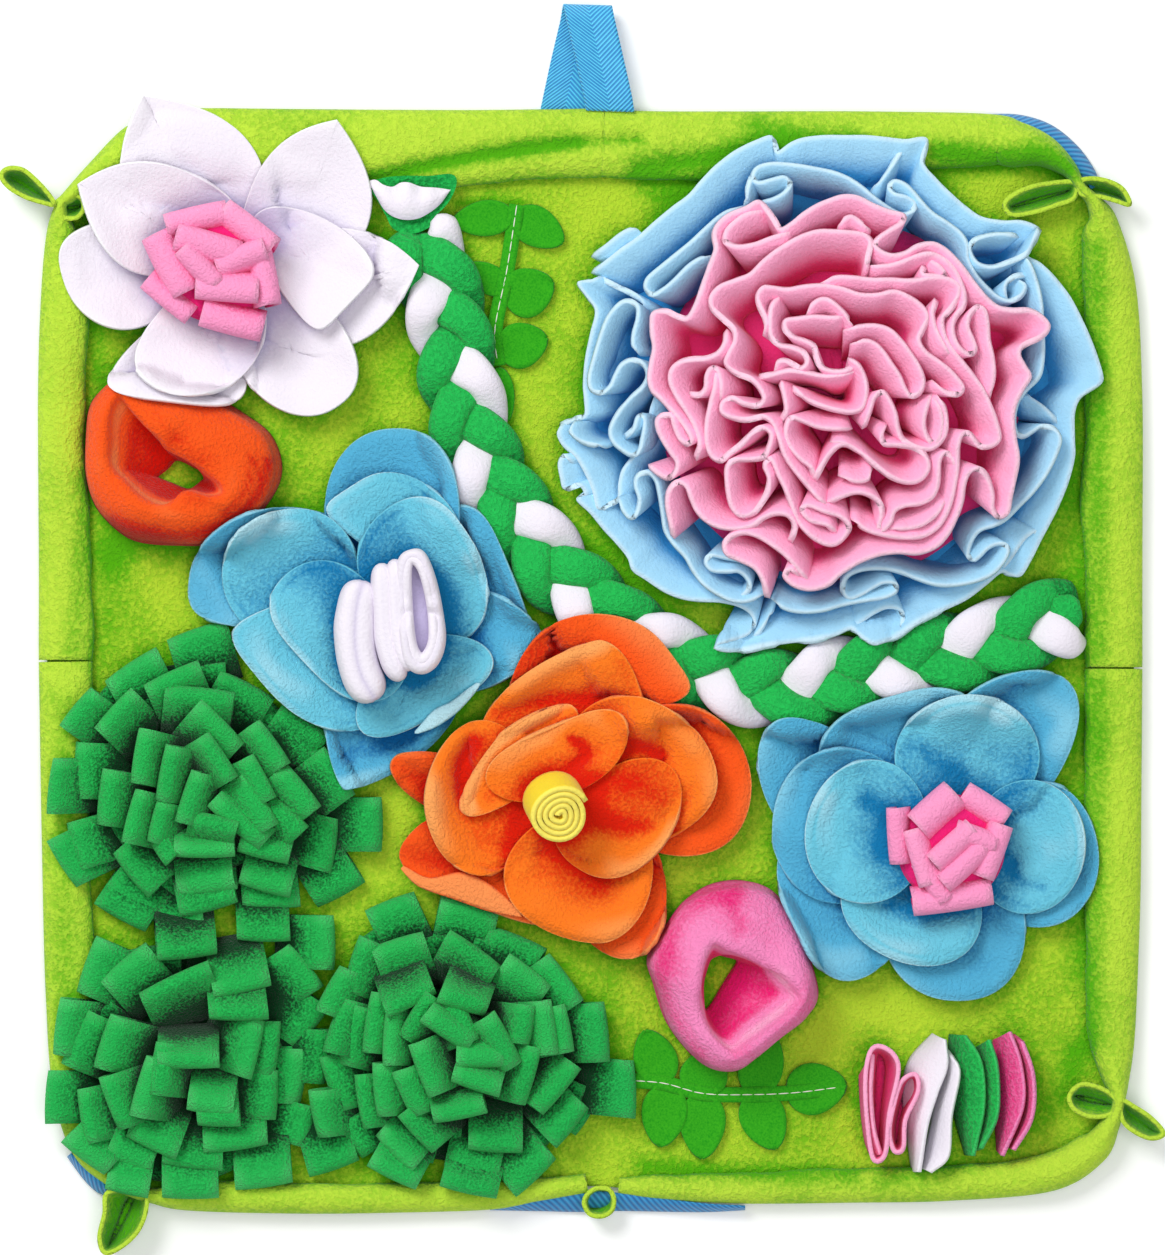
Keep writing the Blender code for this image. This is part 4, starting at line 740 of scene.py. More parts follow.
def leaf(root_u, root_v, tip_u, tip_v, width, seed):
    """Half-width follows sin(pi a^0.8)^0.55 at share a of the length, broadest a little before the middle;
    the edges lift by 0.8 mm and the tip by 0.9 mm."""
    root, tip = page([(root_u, root_v), (tip_u, tip_v)])
    a = np.linspace(0.0, 1.0, 22)[:, None]
    c = np.linspace(-1, 1, 9)[None, :]
    side = np.array([-(tip - root)[1], (tip - root)[0]]) / np.linalg.norm(tip - root)
    half = np.maximum(width * SQUARE / 2 * np.sin(np.pi * a**0.8) ** 0.55, 0.25)
    x = root[0] + (tip - root)[0] * a + side[0] * half * c
    y = root[1] + (tip - root)[1] * a + side[1] * half * c
    z = drape(x, y, FLOOR_OF_MAT + 2.4 + 0.8 * c**2 + 0.9 * a + 0.3 * ripple(a * 5 + c, seed), gap=-0.6)
    return patch(grid(x, y, z), -0.1 + 0.15 * np.abs(c) * np.ones_like(a))


def stem(line, width):
    """A strip of even width along the stem line, lying on the base."""
    plan = smooth(page(line), 60)
    out = normals_of(plan)
    c = np.linspace(-1, 1, 5)[None, :]
    x, y = beside(plan, out, c * width / 2)
    z = drape(x, y, FLOOR_OF_MAT + 3.0 + 0.0 * x, gap=-0.3)
    return patch(grid(x, y, z)), plan


def stitches(plan, heights, length=4.9, pitch=5.5, radius=0.27):
    """Short thread capsules along a line: an ellipsoid each, as one array."""
    run = run_of(plan)
    at = np.arange(pitch / 2, run[-1] - pitch / 3, pitch)
    centre = np.stack([np.interp(at, run, column) for column in (plan[:, 0], plan[:, 1], heights)], 1)
    ahead = np.stack([np.interp(at + 1, run, column) for column in plan[:, :2].T], 1) - centre[:, :2]
    ahead /= np.linalg.norm(ahead, axis=1, keepdims=True)
    lat, lon = np.linspace(0.05, np.pi - 0.05, 9), np.linspace(0, 2 * np.pi, 9)[:-1]
    made = []
    for c, d in zip(centre, ahead):
        along = np.cos(lat)[:, None] * length / 2 * np.ones(8)
        over = np.sin(lat)[:, None] * radius * np.cos(lon)
        up = np.sin(lat)[:, None] * radius * np.sin(lon)
        made.append(patch(np.stack([c[0] + d[0] * along - d[1] * over, c[1] + d[1] * along + d[0] * over,
                                    c[2] + up], -1), closed=True))
    return made


for number, (name, (line, leaves)) in enumerate(SPRIGS.items()):
    strip, plan = stem(line, 7.0)
    blades = [leaf(*row, seed=number * 10 + k) for k, row in enumerate(leaves)]
    made = piece(name, [strip] + blades, LEAF, thickness=1.3)
    cut_from(made, 60, share=0.5)
    for blade in blades:
        settle(blade["points"])
    settle(strip["points"])
    threads = stitches(plan, strip["points"][:, 2, 2] + 0.8)
    piece("stitches_" + name[5:], threads, THREAD, thickness=0, stands_in=False)
    print(name, "has", len(leaves), "leaves and", len(threads), "stitches")

# %% [markdown]
# The plait has three thick strands of folded fleece, two green and one white. Each strand swings from
# side to side as a sine, and goes over and under at twice that pace, a third of a turn behind the last
# one. A strand is a soft flattened tube whose section turns with its path.

# %% Plait
PLAIT_PATH = [
    (411, 232), (421, 250), (432, 270), (444, 304), (458, 370), (478, 450), (516, 516), (558, 572),
    (600, 610), (650, 646), (720, 678), (790, 690), (850, 674), (920, 660), (980, 646), (1040, 624),
    (1078, 616),
]
STRAND = (8.6, 4.9)             # mm, half width and half thickness of a strand
SWING = (11.5, 4.3)             # mm, sideways and up and down


FAN_TOP = [
    (367, 183), (376, 181), (384, 186), (393, 188), (401, 184), (410, 184), (422, 188), (437, 189),
    (451, 191),
]
FAN_LOW = [
    (372, 189), (378, 200), (384, 210), (392, 217), (404, 221), (418, 220), (430, 214), (441, 205),
    (449, 194),
]
TIE = [
    (368, 186), (384, 179), (405, 177), (430, 177), (450, 175), (457, 180), (455, 192), (447, 206),
    (436, 217), (430, 228), (412, 235), (394, 230), (386, 216), (377, 200),
]


def fan():
    """The white end above the tie, spread between its top and its low edge, full in the middle and with
    four soft folds that run down from the top edge."""
    top, low = smooth(page(FAN_TOP), 60), smooth(page(FAN_LOW), 60)
    s = np.linspace(0, 1, 60)[:, None]
    t = np.linspace(0, 1, 16)[None, :]
    plan = ruled(low, top, t)
    fold = np.cos(7.5 * np.pi * s + 0.8) * np.sin(np.pi * s)
    z = 13.5 + 4.5 * np.sin(np.pi * s) ** 0.7 * np.sin(np.pi * (0.12 + 0.8 * t)) + 0.9 * fold * t
    # painted light on the crests of the folds, painted shade in their hollows and towards the low edge
    tone = 0.10 + 0.30 * fold * t - 0.5 * (1 - t) ** 4
    return lifted(plan, z, tone)


def fan_hem():
    """The green cloth of the tie: a shallow pouch that shows behind the fan, at its right side and below."""
    rim = smooth(page(TIE), 70, closed=True)
    share = np.linspace(0.03, 1, 12)[:, None]
    plan = rim.mean(axis=0) + (rim - rim.mean(axis=0))[None] * share[..., None]
    z = 11.0 + 2.2 * share**3 - 0.5 * share**12 + 0 * plan[..., 0]
    # painted shade, deepest in the middle of the pouch behind the fan
    return lifted(plan, z, 0.2 * share**2 - 0.25 + 0 * z, closed=True, capped=True)


def strand(number, turns=5.6, count=360, around_count=22):
    """centre = line + side * swing * sin(p), z + lift * sin(2p), with p = turns along the line plus a third
    of a turn for each strand; the flattened section stands across the strand's own direction."""
    line = smooth(page(PLAIT_PATH), count)
    side = normals_of(line)
    t = np.linspace(0, 1, count)
    p = 2 * np.pi * (turns * t + number / 3) + 0.25 * ripple(t * 20, 70 + number)
    open_end = 1 + 0.25 * np.exp(-t / 0.03)
    swing = SWING[0] * np.sin(p) * open_end
    centre = np.column_stack([line + side * swing[:, None], np.zeros(count)])
    centre[:, 2] = 12.2 + SWING[1] * np.sin(2 * p) - 3.5 * np.exp(-t / 0.025) - 3.0 * np.exp(-(1 - t) / 0.025)
    ahead = np.gradient(centre, axis=0)
    ahead /= np.linalg.norm(ahead, axis=1, keepdims=True)
    right = np.cross(ahead, [0, 0, 1.0])
    right /= np.linalg.norm(right, axis=1, keepdims=True)
    up = np.cross(right, ahead)
    a = np.linspace(0, 2 * np.pi, around_count, endpoint=False)
    plump = 1 + 0.10 * np.cos(2 * p) + 0.05 * ripple(t * 60, 80 + number)
    close = np.clip(np.minimum(t, 1 - t) / 0.012, 0.08, 1) ** 0.5
    wide = STRAND[0] * plump * close
    thick = STRAND[1] * (2 - plump) * close
    flat_cos = np.sign(np.cos(a)) * np.abs(np.cos(a)) ** 0.8
    crease = 1 - 0.16 * np.exp(-((a - 1.5 * np.pi) / 0.3) ** 2)
    points = (centre[:, None] + right[:, None] * (wide[:, None] * flat_cos)[..., None]
              + up[:, None] * (thick[:, None] * np.sin(a) * crease)[..., None])
    # painted light and shade: lighter on top of the strand, painted shade on its underside and where it dips
    # under the others
    tone = 0.12 * np.sin(a)[None, :] - 0.45 * (np.sin(a) < -0.3)[None, :] \
        - 0.30 * (np.sin(2 * p) < -0.2)[:, None]
    return patch(points, tone, closed=True, capped=True)


for number, (finish, extra) in enumerate(((PLAIT, []), (PLAIT, [fan_hem()]), (WHITE, [fan()]))):
    p = strand(number)
    ends = p["points"][[0, -1]].mean(axis=1)
    p["points"] = np.concatenate([p["points"][:1] * 0.02 + ends[0] * 0.98, p["points"],
                                  p["points"][-1:] * 0.02 + ends[1] * 0.98])
    p["tone"] = np.vstack([p["tone"][:1], p["tone"], p["tone"][-1:]])
    p["capped"] = False
    made = piece(f"plait_strand_{number + 1}", [p] + extra, finish, thickness=0)
    settle(p["points"], closed=True)
    cut_from(made, 24, sides=2)
    print(made.name, "has", len(p["points"]), "rings")

# %% [markdown]
# The bushes are bunches of fleece strips, each folded over into a loop and sewn down at its foot. The
# outer ones have fallen outwards and show their faces, the inner ones stand up and show the fold. A loop
# is two legs and a half circle, carried across the breadth of its strip. Each fold was read off the page
# and stands in a table. The foot and the height of a loop follow from how far out it lies, and small
# differences are seeded. Below them lies a made-up round of short loops.

# %% Loops of folded strip
def loops(foot, turn, tilt, length, breadth, opening, seed, columns=5, twist=0.25):
    """For each row of the arrays: legs rise `length` mm and are `opening` apart; the whole leans by `tilt`
    towards `turn`, both in radians. The legs bow, and the fold is a half circle."""
    rng = np.random.default_rng(seed)
    n = len(turn)
    bend = np.linspace(0, np.pi, 9)
    rise = np.concatenate([np.linspace(0, 1, 5)[:-1], np.ones(9), np.linspace(1, 0, 5)[1:]])
    apart = np.concatenate([np.full(4, -1.0), -np.cos(bend), np.full(4, 1.0)])
    over = np.concatenate([np.zeros(4), np.sin(bend), np.zeros(4)])
    bow = 0.55 + 0.45 * np.sin(rise * np.pi * 0.62)
    half = opening / 2
    h = (length - half)[:, None] * rise + half[:, None] * over * 1.1
    d = half[:, None] * apart * bow
    d = d + (rng.uniform(-0.12, 0.12, n) * length)[:, None] * (h / length[:, None]) ** 2
    c = np.linspace(-0.5, 0.5, columns)
    b = breadth[:, None] * c[None, :]
    up = np.stack([np.sin(tilt) * np.cos(turn), np.sin(tilt) * np.sin(turn), np.cos(tilt)], 1)
    flat = np.stack([-np.sin(turn), np.cos(turn), np.zeros(n)], 1)
    out = np.cross(flat, up)
    angle = rng.normal(0, twist, n)[:, None]
    broad = flat * np.cos(angle) + out * np.sin(angle)
    out = np.cross(broad, up)
    sag = 0.03 * breadth[:, None, None] * (2 * c[None, None, :]) ** 2 * rise[None, :, None]
    slant = rng.uniform(-0.14, 0.14, n)[:, None, None]
    points = (foot[:, None, None, :]
              + up[:, None, None, :] * (h[:, :, None] * (1 + slant * c) - sag)[..., None]
              + out[:, None, None, :] * d[:, :, None, None] + broad[:, None, None, :] * b[:, None, :, None])
    low = rng.uniform(-0.15, 0.12, n)[:, None, None]
    # painted shade that deepens from the fold down to the foot; both long edges paler, cut edges with a
    # painted highlight; `low` is a random difference between loops
    tone = np.broadcast_to(0.32 - 1.80 * (1 - np.minimum(h / length[:, None], 1))[:, :, None] ** 1.6 + low,
                           points.shape[:3]).copy()
    tone[:, :, [0, -1]] += 0.30
    return [patch(points[k], tone[k]) for k in range(n)]


# middle, and radius every 30 degrees counter-clockwise from the right, in mm: read on the page, changed
# to mm by its scale, and a few radii altered
BUSHES = {
    "bush_left": ((-167.6, -69.5), [68.4, 51.1, 42, 62, 72, 73.9, 73, 72, 63.8, 62.9, 62, 66.6]),
    "bush_bottom_left": ((-187.2, -198.1), [58.4, 61.1, 63.8, 61.1, 59.3, 54, 52, 57, 57, 57.5, 59.3, 60.2]),
    "bush_bottom": ((-56.8, -189), [77.5, 72, 58.4, 62, 68.4, 68.4, 62.9, 64.8, 67, 67.5, 69, 75]),
}
GOLDEN_ANGLE = 2.39996          # radians; steps of it spread points evenly round a circle
# each loop's fold as two page points; the loop faces to the right of the way from the first to the second,
# as seen by someone walking it with the page's top as north
FOLDS = {
    "bush_left": [
        228, 623, 168, 640, 160, 652, 106, 679, 200, 661, 145, 683, 236, 697, 168, 687, 274, 701, 222, 671,
        91, 686, 62, 725, 134, 689, 95, 726, 243, 745, 198, 705, 292, 762, 262, 719, 329, 738, 282, 706, 84,
        742, 82, 798, 108, 768, 99, 823, 51, 758, 52, 813, 146, 728, 132, 781, 171, 744, 161, 799, 238, 777,
        212, 731, 270, 800, 250, 756, 320, 807, 286, 765, 355, 794, 321, 749, 272, 827, 239, 777, 138, 788,
        125, 841, 163, 799, 152, 840, 71, 822, 85, 869, 55, 837, 78, 886, 116, 852, 152, 894, 107, 885, 154,
        921, 97, 900, 145, 932, 177, 858, 237, 856, 179, 890, 237, 885, 182, 915, 239, 902, 239, 850, 289,
        863, 240, 882, 291, 895, 244, 908, 301, 902, 238, 941, 291, 938, 324, 871, 338, 819, 318, 906, 363,
        878, 379, 851, 379, 797, 240, 826, 194, 812, 152, 844, 170, 863, 303, 832, 272, 800, 158, 934, 206,
        929, 196, 770, 186, 822, 214, 800, 262, 846],
    "bush_bottom_left": [
        103, 937, 79, 990, 148, 943, 103, 981, 211, 962, 141, 991, 215, 993, 272, 980, 212, 1020, 270, 1011,
        159, 959, 218, 953, 62, 996, 56, 1052, 91, 1009, 67, 1063, 119, 1014, 104, 1067, 161, 1066, 222,
        1063, 244, 1075, 262, 1018, 276, 1073, 278, 1020, 151, 1054, 141, 1114, 106, 1074, 123, 1127, 52,
        1069, 52, 1122, 79, 1088, 90, 1142, 67, 1136, 105, 1173, 200, 1121, 242, 1118, 271, 1118, 274, 1069,
        301, 1103, 303, 1048, 321, 987, 292, 942, 332, 969, 333, 915, 297, 1047, 326, 1004, 325, 1083, 329,
        1029, 130, 1130, 181, 1148, 205, 1148, 269, 1145, 108, 1151, 152, 1168, 164, 1162, 224, 1163, 108,
        1181, 151, 1188, 164, 1191, 220, 1189, 236, 1181, 293, 1177, 303, 1146, 314, 1106, 190, 1098, 236,
        1104, 168, 1040, 160, 1092],
    "bush_bottom": [
        414, 892, 367, 914, 499, 911, 441, 898, 545, 951, 492, 926, 503, 961, 449, 932, 424, 933, 373, 951,
        363, 935, 341, 986, 580, 1001, 547, 954, 438, 997, 484, 1015, 549, 987, 505, 959, 606, 1060, 603,
        1001, 629, 1117, 634, 1060, 387, 1010, 437, 991, 340, 996, 325, 1050, 356, 1003, 341, 1062, 373,
        990, 366, 1050, 388, 1007, 385, 1063, 431, 991, 401, 1032, 426, 1011, 467, 1047, 457, 1057, 504,
        1057, 414, 1041, 435, 1093, 326, 1055, 339, 1110, 357, 1073, 361, 1127, 379, 1061, 383, 1114, 402,
        1067, 418, 1113, 436, 1121, 488, 1109, 522, 1102, 534, 1044, 546, 1114, 577, 1064, 553, 1052, 549,
        998, 570, 1050, 560, 1003, 529, 1042, 532, 1003, 313, 1088, 317, 1135, 341, 1122, 362, 1157, 376,
        1135, 415, 1167, 401, 1112, 432, 1151, 469, 1144, 523, 1143, 445, 1162, 499, 1174, 440, 1184, 496,
        1198, 512, 1190, 555, 1157, 553, 1143, 589, 1108, 368, 1163, 415, 1189, 309, 1172, 359, 1158, 339,
        964, 321, 1010, 452, 1078, 500, 1092, 520, 1060, 492, 1010, 470, 1040, 452, 1000],
}


def bush(name, centre, outline, seed):
    """Loops from their folds: a fold stands higher the nearer it is to the middle, and its foot lies back
    from it, by more at the outside where the loops lie nearly flat."""
    ends = page(np.array(FOLDS[name], float).reshape(-1, 2)).reshape(-1, 2, 2)
    along = ends[:, 1] - ends[:, 0]
    breadth = np.hypot(*along.T)
    face = np.arctan2(-along[:, 0], along[:, 1])
    middle = ends.mean(axis=1)
    away = middle - np.array(centre)
    share = np.hypot(*away.T) / around(outline, np.arctan2(away[:, 1], away[:, 0]))
    rng = np.random.default_rng(seed)
    n = len(ends)
    high = 10 + 24 * np.clip(1 - share**2, 0, 1) + rng.uniform(-1, 1, n)
    high = np.maximum(high, support(middle[:, 0], middle[:, 1], 4) + 7)
    back = 15 + 10 * np.clip(share, 0, 1)
    foot = np.stack([middle[:, 0] - back * np.cos(face), middle[:, 1] - back * np.sin(face),
                     np.full(n, 4.0) + 6 * np.clip(1 - share, 0, 1)], 1)
    size = np.hypot(back, high - foot[:, 2])
    lean = np.arctan2(back, high - foot[:, 2])
    return loops(foot, face, lean, size, breadth, rng.uniform(6, 9, n), seed + 1, twist=0.05)


def lowest(centre, outline, seed, n=30):
    """A first round of short loops that have fallen outwards and show only in the gaps of the others."""
    rng = np.random.default_rng(seed)
    angle = np.arange(n) * GOLDEN_ANGLE
    away = around(outline, angle) * rng.uniform(0.40, 0.68, n)
    foot = np.stack([centre[0] + away * np.cos(angle), centre[1] + away * np.sin(angle), np.full(n, 4.5)], 1)
    made = loops(foot, angle, np.radians(rng.uniform(66, 74, n)), rng.uniform(14, 18, n),
                 rng.uniform(13, 17, n), rng.uniform(4, 5, n), seed, twist=0.05)
    for loop in made:
        # painted shade: these loops lie under the others
        loop["tone"] = loop["tone"] - 0.25
    return made


def strip_bed(centre, outline):
    """The strips' sewn feet, painted in full shade and seen only as darkness between the loops."""
    a = np.linspace(0, 2 * np.pi, 72, endpoint=False)
    r = np.linspace(0.02, 0.80, 8)[:, None] * around(outline, a)[None, :]
    x, y = centre[0] + r * np.cos(a), centre[1] + r * np.sin(a)
    z = 5.0 + 0.8 * np.sin(9 * a + r / 4)
    return patch(grid(x, y, z), -1.0, closed=True, capped=True)


for seed, (name, (centre, outline)) in enumerate(BUSHES.items(), start=50):
    bunch = bush(name, centre, outline, seed * 7)
    under = lowest(centre, outline, seed)
    made = piece(name, bunch + under + [strip_bed(centre, outline)], BUSH, thickness=2.2)
    for loop in bunch:
        settle(loop["points"])
    cut_from(made, 18)
    print(name, "has", len(bunch), "loops, and", len(under), "short ones under them")

# %% [markdown]
# The orange and the pink ring are short cups of stiff fleece. One surface does each: up the outer side
# from its foot, over a rounded rim and down the inner side to the mat, with a radius at every angle that
# comes from the outline. The inner side leans more on one hand, as the wall has flopped inwards there.

# %% Rings
# place between the outline (0), the rim (1) and the floor (2), and share of the height
RING_SECTION = [
    (-0.06, 0.00), (-0.02, 0.22), (0.02, 0.46), (0.08, 0.66), (0.24, 0.80), (0.50, 0.91), (0.78, 0.98),
    (0.92, 1.00), (1.00, 0.96), (1.06, 0.84), (1.25, 0.60), (1.55, 0.32), (1.85, 0.10), (2.00, 0.00),
]


def ring(outline, rim, floor, low, high, seed, count=160, profile=None, folds=()):
    """Three page outlines, each read by angle round its own middle: the section's first column goes from
    the outer outline (0) to the rim (1) and on to the floor (2), and the height follows the second."""
    a = np.linspace(0, 2 * np.pi, count, endpoint=False)
    lines = []
    for points in (outline, rim, floor):
        line = smooth(page(points), 400, closed=True)
        middle = line.mean(axis=0)
        angle = np.mod(np.arctan2(*(line - middle).T[::-1]), 2 * np.pi)
        order = np.argsort(angle)
        r = np.interp(a, angle[order], np.linalg.norm(line - middle, axis=1)[order], period=2 * np.pi)
        lines.append(middle + r[:, None] * np.column_stack([np.cos(a), np.sin(a)]))
    outer, edge, inside = lines
    rows = np.asarray(RING_SECTION if profile is None else profile)
    section = smooth(rows * (20, 30), 34) / (20, 30)
    share, rise = section[:, 0, None], section[:, 1, None]
    first, second = np.clip(share, -0.1, 1)[..., None], np.clip(share - 1, 0, 1)[..., None]
    plan = outer + (edge - outer) * first + (inside - edge) * second
    place = np.linspace(0, 1, len(section))[:, None]
    facet = (np.sin(4 * a + 3 * rise + seed) + 0.6 * np.sin(7 * a - 2 * rise)) * (profile is None)
    away = (outer - edge) / np.linalg.norm(outer - edge, axis=1, keepdims=True)
    plan = plan + away * (0.55 * facet * np.sin(np.pi * place)
                          + 0.35 * np.sin(place * 40 + 2 * np.sin(a + seed))
                          * (place < 0.35) * (profile is None))[..., None]
    tall = high * (1 + 0.05 * np.sin(2 * a + seed) + 0.02 * np.sin(5 * a))
    z = low + (tall - low) * rise
    inner_side = np.clip((place - 0.70) / 0.05, 0, 1)
    rim_band = np.exp(-((place - 0.63) / 0.055) ** 2)
    outer_side = np.clip(0.85 - rise, 0, 1) * (place < 0.5)
    if profile is not None:
        # painted shade in the crease along the middle seam of the doubled edge and low down, lighter higher
        # up
        seam = np.exp(-((place - 0.5) / 0.03) ** 2)
        tone = -0.5 * seam - 0.7 * np.clip(0.8 - rise, 0, 1) + 0.2 * rise + 0 * a
        return lifted(plan, z, tone, closed=True)
    raised, shade = folds_at(folds, plan[..., 0], plan[..., 1])
    z = z + raised * rise
    # painted light and shade: a painted highlight along the rim, painted shade down the inner side to the
    # floor and low on the outer side, lighter and darker facets, and the painted shade and light of the folds
    tone = -0.55 * inner_side - 0.5 * np.clip((place - 0.86) / 0.1, 0, 1) + 0.75 * rim_band \
        - 0.30 * outer_side + 0.10 * facet * np.sin(np.pi * place) + shade
    return lifted(plan, z, tone, closed=True)


ORANGE_OUTLINE = [
    (120, 384), (144, 388), (163, 398), (190, 402), (221, 407), (241, 418), (265, 437), (276, 466),
    (270, 493), (251, 517), (214, 539), (174, 541), (140, 537), (120, 526), (100, 504), (91, 477),
    (90, 442), (93, 411), (104, 394),
]
ORANGE_RIM = [(122, 396), (136, 411), (150, 427), (163, 440), (178, 453), (195, 462), (211, 473), (224, 484),
              (226, 496), (212, 500), (190, 495), (178, 502), (162, 507), (144, 502), (128, 488), (114, 470),
              (108, 440), (111, 412)]
ORANGE_FLOOR = [
    (179, 459), (196, 466), (211, 474), (201, 484), (190, 491), (172, 485), (157, 478), (168, 468),
]
PINK_OUTLINE = [
    (712, 889), (743, 886), (774, 899), (800, 942), (814, 991), (803, 1014), (780, 1033), (755, 1054),
    (733, 1067), (704, 1060), (672, 1023), (657, 982), (652, 956), (672, 923), (688, 903),
]
PINK_RIM = [(712, 942), (728, 946), (745, 952), (774, 968), (802, 992), (792, 1010), (774, 1024), (754, 1038),
            (733, 1054), (714, 1038), (698, 1008), (698, 974)]
PINK_FLOOR = [
    (712, 952), (724, 954), (738, 960), (726, 980), (712, 1004), (704, 1010), (699, 998), (704, 972),
]
# page line, width mm, height mm, change of tone. The lines were read off the page; in each table all widths
# were then widened by one factor, and all tones weakened by another.
# their tones are painted shade in the dips and painted light on the ridges of both rings
ORANGE_FOLDS = [
    ([(118, 522), (150, 531), (196, 533), (232, 524)], 4.3, -0.8, -0.66),
    ([(236, 518), (258, 494), (268, 462)], 2.2, -0.6, -0.70),
    ([(226, 512), (246, 490), (254, 458)], 1.9, -0.5, -0.56),
    ([(112, 492), (136, 508), (176, 516), (214, 512), (232, 496), (236, 470)], 4.6, 0.8, 0.35),
    ([(105, 410), (100, 440), (104, 475)], 4.3, 0.5, 0.24),
    ([(140, 398), (170, 416), (205, 430)], 7.4, 0.8, 0.21),
    ([(150, 402), (176, 438), (205, 462)], 3.5, 0.2, -0.28),
]
PINK_FOLDS = [
    ([(664, 968), (676, 930), (700, 902), (736, 893)], 5.0, -0.4, -0.46),
    ([(664, 982), (678, 1018), (700, 1052)], 3.5, -0.4, -0.34),
    ([(704, 948), (694, 985), (700, 1020), (724, 1050)], 3.2, 0.6, 0.31),
    ([(712, 936), (750, 946), (790, 975)], 3.2, 0.6, 0.31),
    ([(730, 905), (738, 922), (735, 936)], 3.5, -0.6, -0.31),
    ([(806, 1006), (784, 1026), (750, 1050)], 3.0, 0.2, -0.19),
]
for name, lines, finish, high, folds in (
        ("ring_orange", (ORANGE_OUTLINE, ORANGE_RIM, ORANGE_FLOOR), RED_ORANGE, 31, ORANGE_FOLDS),
        ("ring_pink", (PINK_OUTLINE, PINK_RIM, PINK_FLOOR), MAGENTA, 33, PINK_FOLDS)):
    cup = ring(*lines, 3.6, high, len(name), folds=folds)
    made = piece(name, [cup], finish, thickness=2.4)
    settle(cup["points"], closed=True)
    cut_from(made, 70)
    print(name, "is", high, "mm high at its rim")

# %% [markdown]
# A row of four folded strips stands at the lower right: pink, white, green and magenta. Each is one or two
# faces of cloth that lean against the next, with pale rims, and the pink one has two closed loops as well.

# %% Folded strips
PINKS_ARE_DEEPER = 0.42         # tone taken off the pink and the magenta strip
# For each strip: its faces as two page lines, the low one and the rim; pockets as one closed rim.
STRIPS = {
    "folded_strip_pink":
        (ROSE,
         [([(860, 1076), (862, 1110), (866, 1140), (872, 1156)],
           [(872, 1052), (870, 1090), (873, 1126), (880, 1152)])],
         [[(877, 1044), (868, 1052), (864, 1080), (866, 1120), (872, 1157), (884, 1152), (888, 1112),
           (897, 1070), (892, 1052)],
          [(912, 1072), (900, 1080), (892, 1104), (888, 1130), (893, 1149), (902, 1146), (904, 1118),
           (916, 1092), (917, 1078)]]),
    "folded_strip_white":
        (WHITE,
         [([(933, 1034), (909, 1062), (903, 1100), (908, 1136), (913, 1171)],
           [(944, 1038), (946, 1064), (936, 1092), (926, 1124), (918, 1170)]),
          ([(942, 1044), (944, 1070), (936, 1100), (930, 1130), (922, 1168)],
           [(955, 1060), (958, 1074), (950, 1114), (947, 1154), (929, 1170)])], []),
    "folded_strip_green":
        (PLAIT,
         [([(950, 1034), (950, 1070), (954, 1110), (966, 1154)],
           [(964, 1034), (980, 1060), (983, 1104), (972, 1154)]),
          ([(978, 1046), (980, 1080), (980, 1118), (974, 1150)],
           [(988, 1038), (996, 1066), (996, 1112), (980, 1146)])], []),
    "folded_strip_magenta":
        (MAGENTA,
         [([(994, 1040), (994, 1080), (996, 1118), (998, 1150)],
           [(1009, 1030), (1020, 1062), (1022, 1104), (1001, 1154)]),
          ([(1012, 1034), (1022, 1066), (1024, 1108), (1010, 1148)],
           [(1021, 1040), (1032, 1076), (1030, 1116), (1012, 1148)])], []),
}


def leaning(low_line, rim_line, low, high, bulge=2.0, count=60, rows=14):
    """A face of cloth that leans: from the low line up to the rim, bellied by a sine; painted shade deepens
    towards the low line, and the rim is pale, a cut edge with a painted highlight.
    """
    a, b = smooth(page(low_line), count), smooth(page(rim_line), count)
    t = np.linspace(0, 1, rows)[None, :]
    s = np.linspace(0, 1, count)[:, None]
    plan = ruled(a, b, t)
    z = low + (high - low) * t**0.8 + bulge * np.sin(np.pi * t) - 2.5 * (2 * s - 1) ** 4
    tone = np.where(t > 0.95, 0.8, -0.35 * (1 - t) + 0.12) + 0 * s
    return lifted(plan, z, tone)


for name, (finish, faces, pockets) in STRIPS.items():
    sheets = [leaning(low, rim, 4.0 + 2 * k, 20 + k) for k, (low, rim) in enumerate(faces)]
    sheets += [pocket(rim, 4.0, 22, 0.35, sag=2.0, rim_tone=0.55, hollow_shade=-0.8) for rim in pockets]
    for sheet in sheets:
        sheet["tone"] = sheet["tone"] - PINKS_ARE_DEEPER * (finish in (ROSE, MAGENTA))
    made = piece(name, sheets, finish)
    for sheet in sheets:
        settle(sheet["points"])
    cut_from(made, 20)
print("folded strips:", len(STRIPS))

# %% [markdown]
# The big pink and blue flower at the upper right is two ruffles. A long strip is gathered along its foot,
# so its free edge is too long and falls into hairpins and long arcs. Those edges are the pale lines that
# draw the flower, so each is followed here as it lies in the picture, and the cloth is hung from it. The
# foot is the same line with its folds smoothed away, moved towards the middle of the flower.

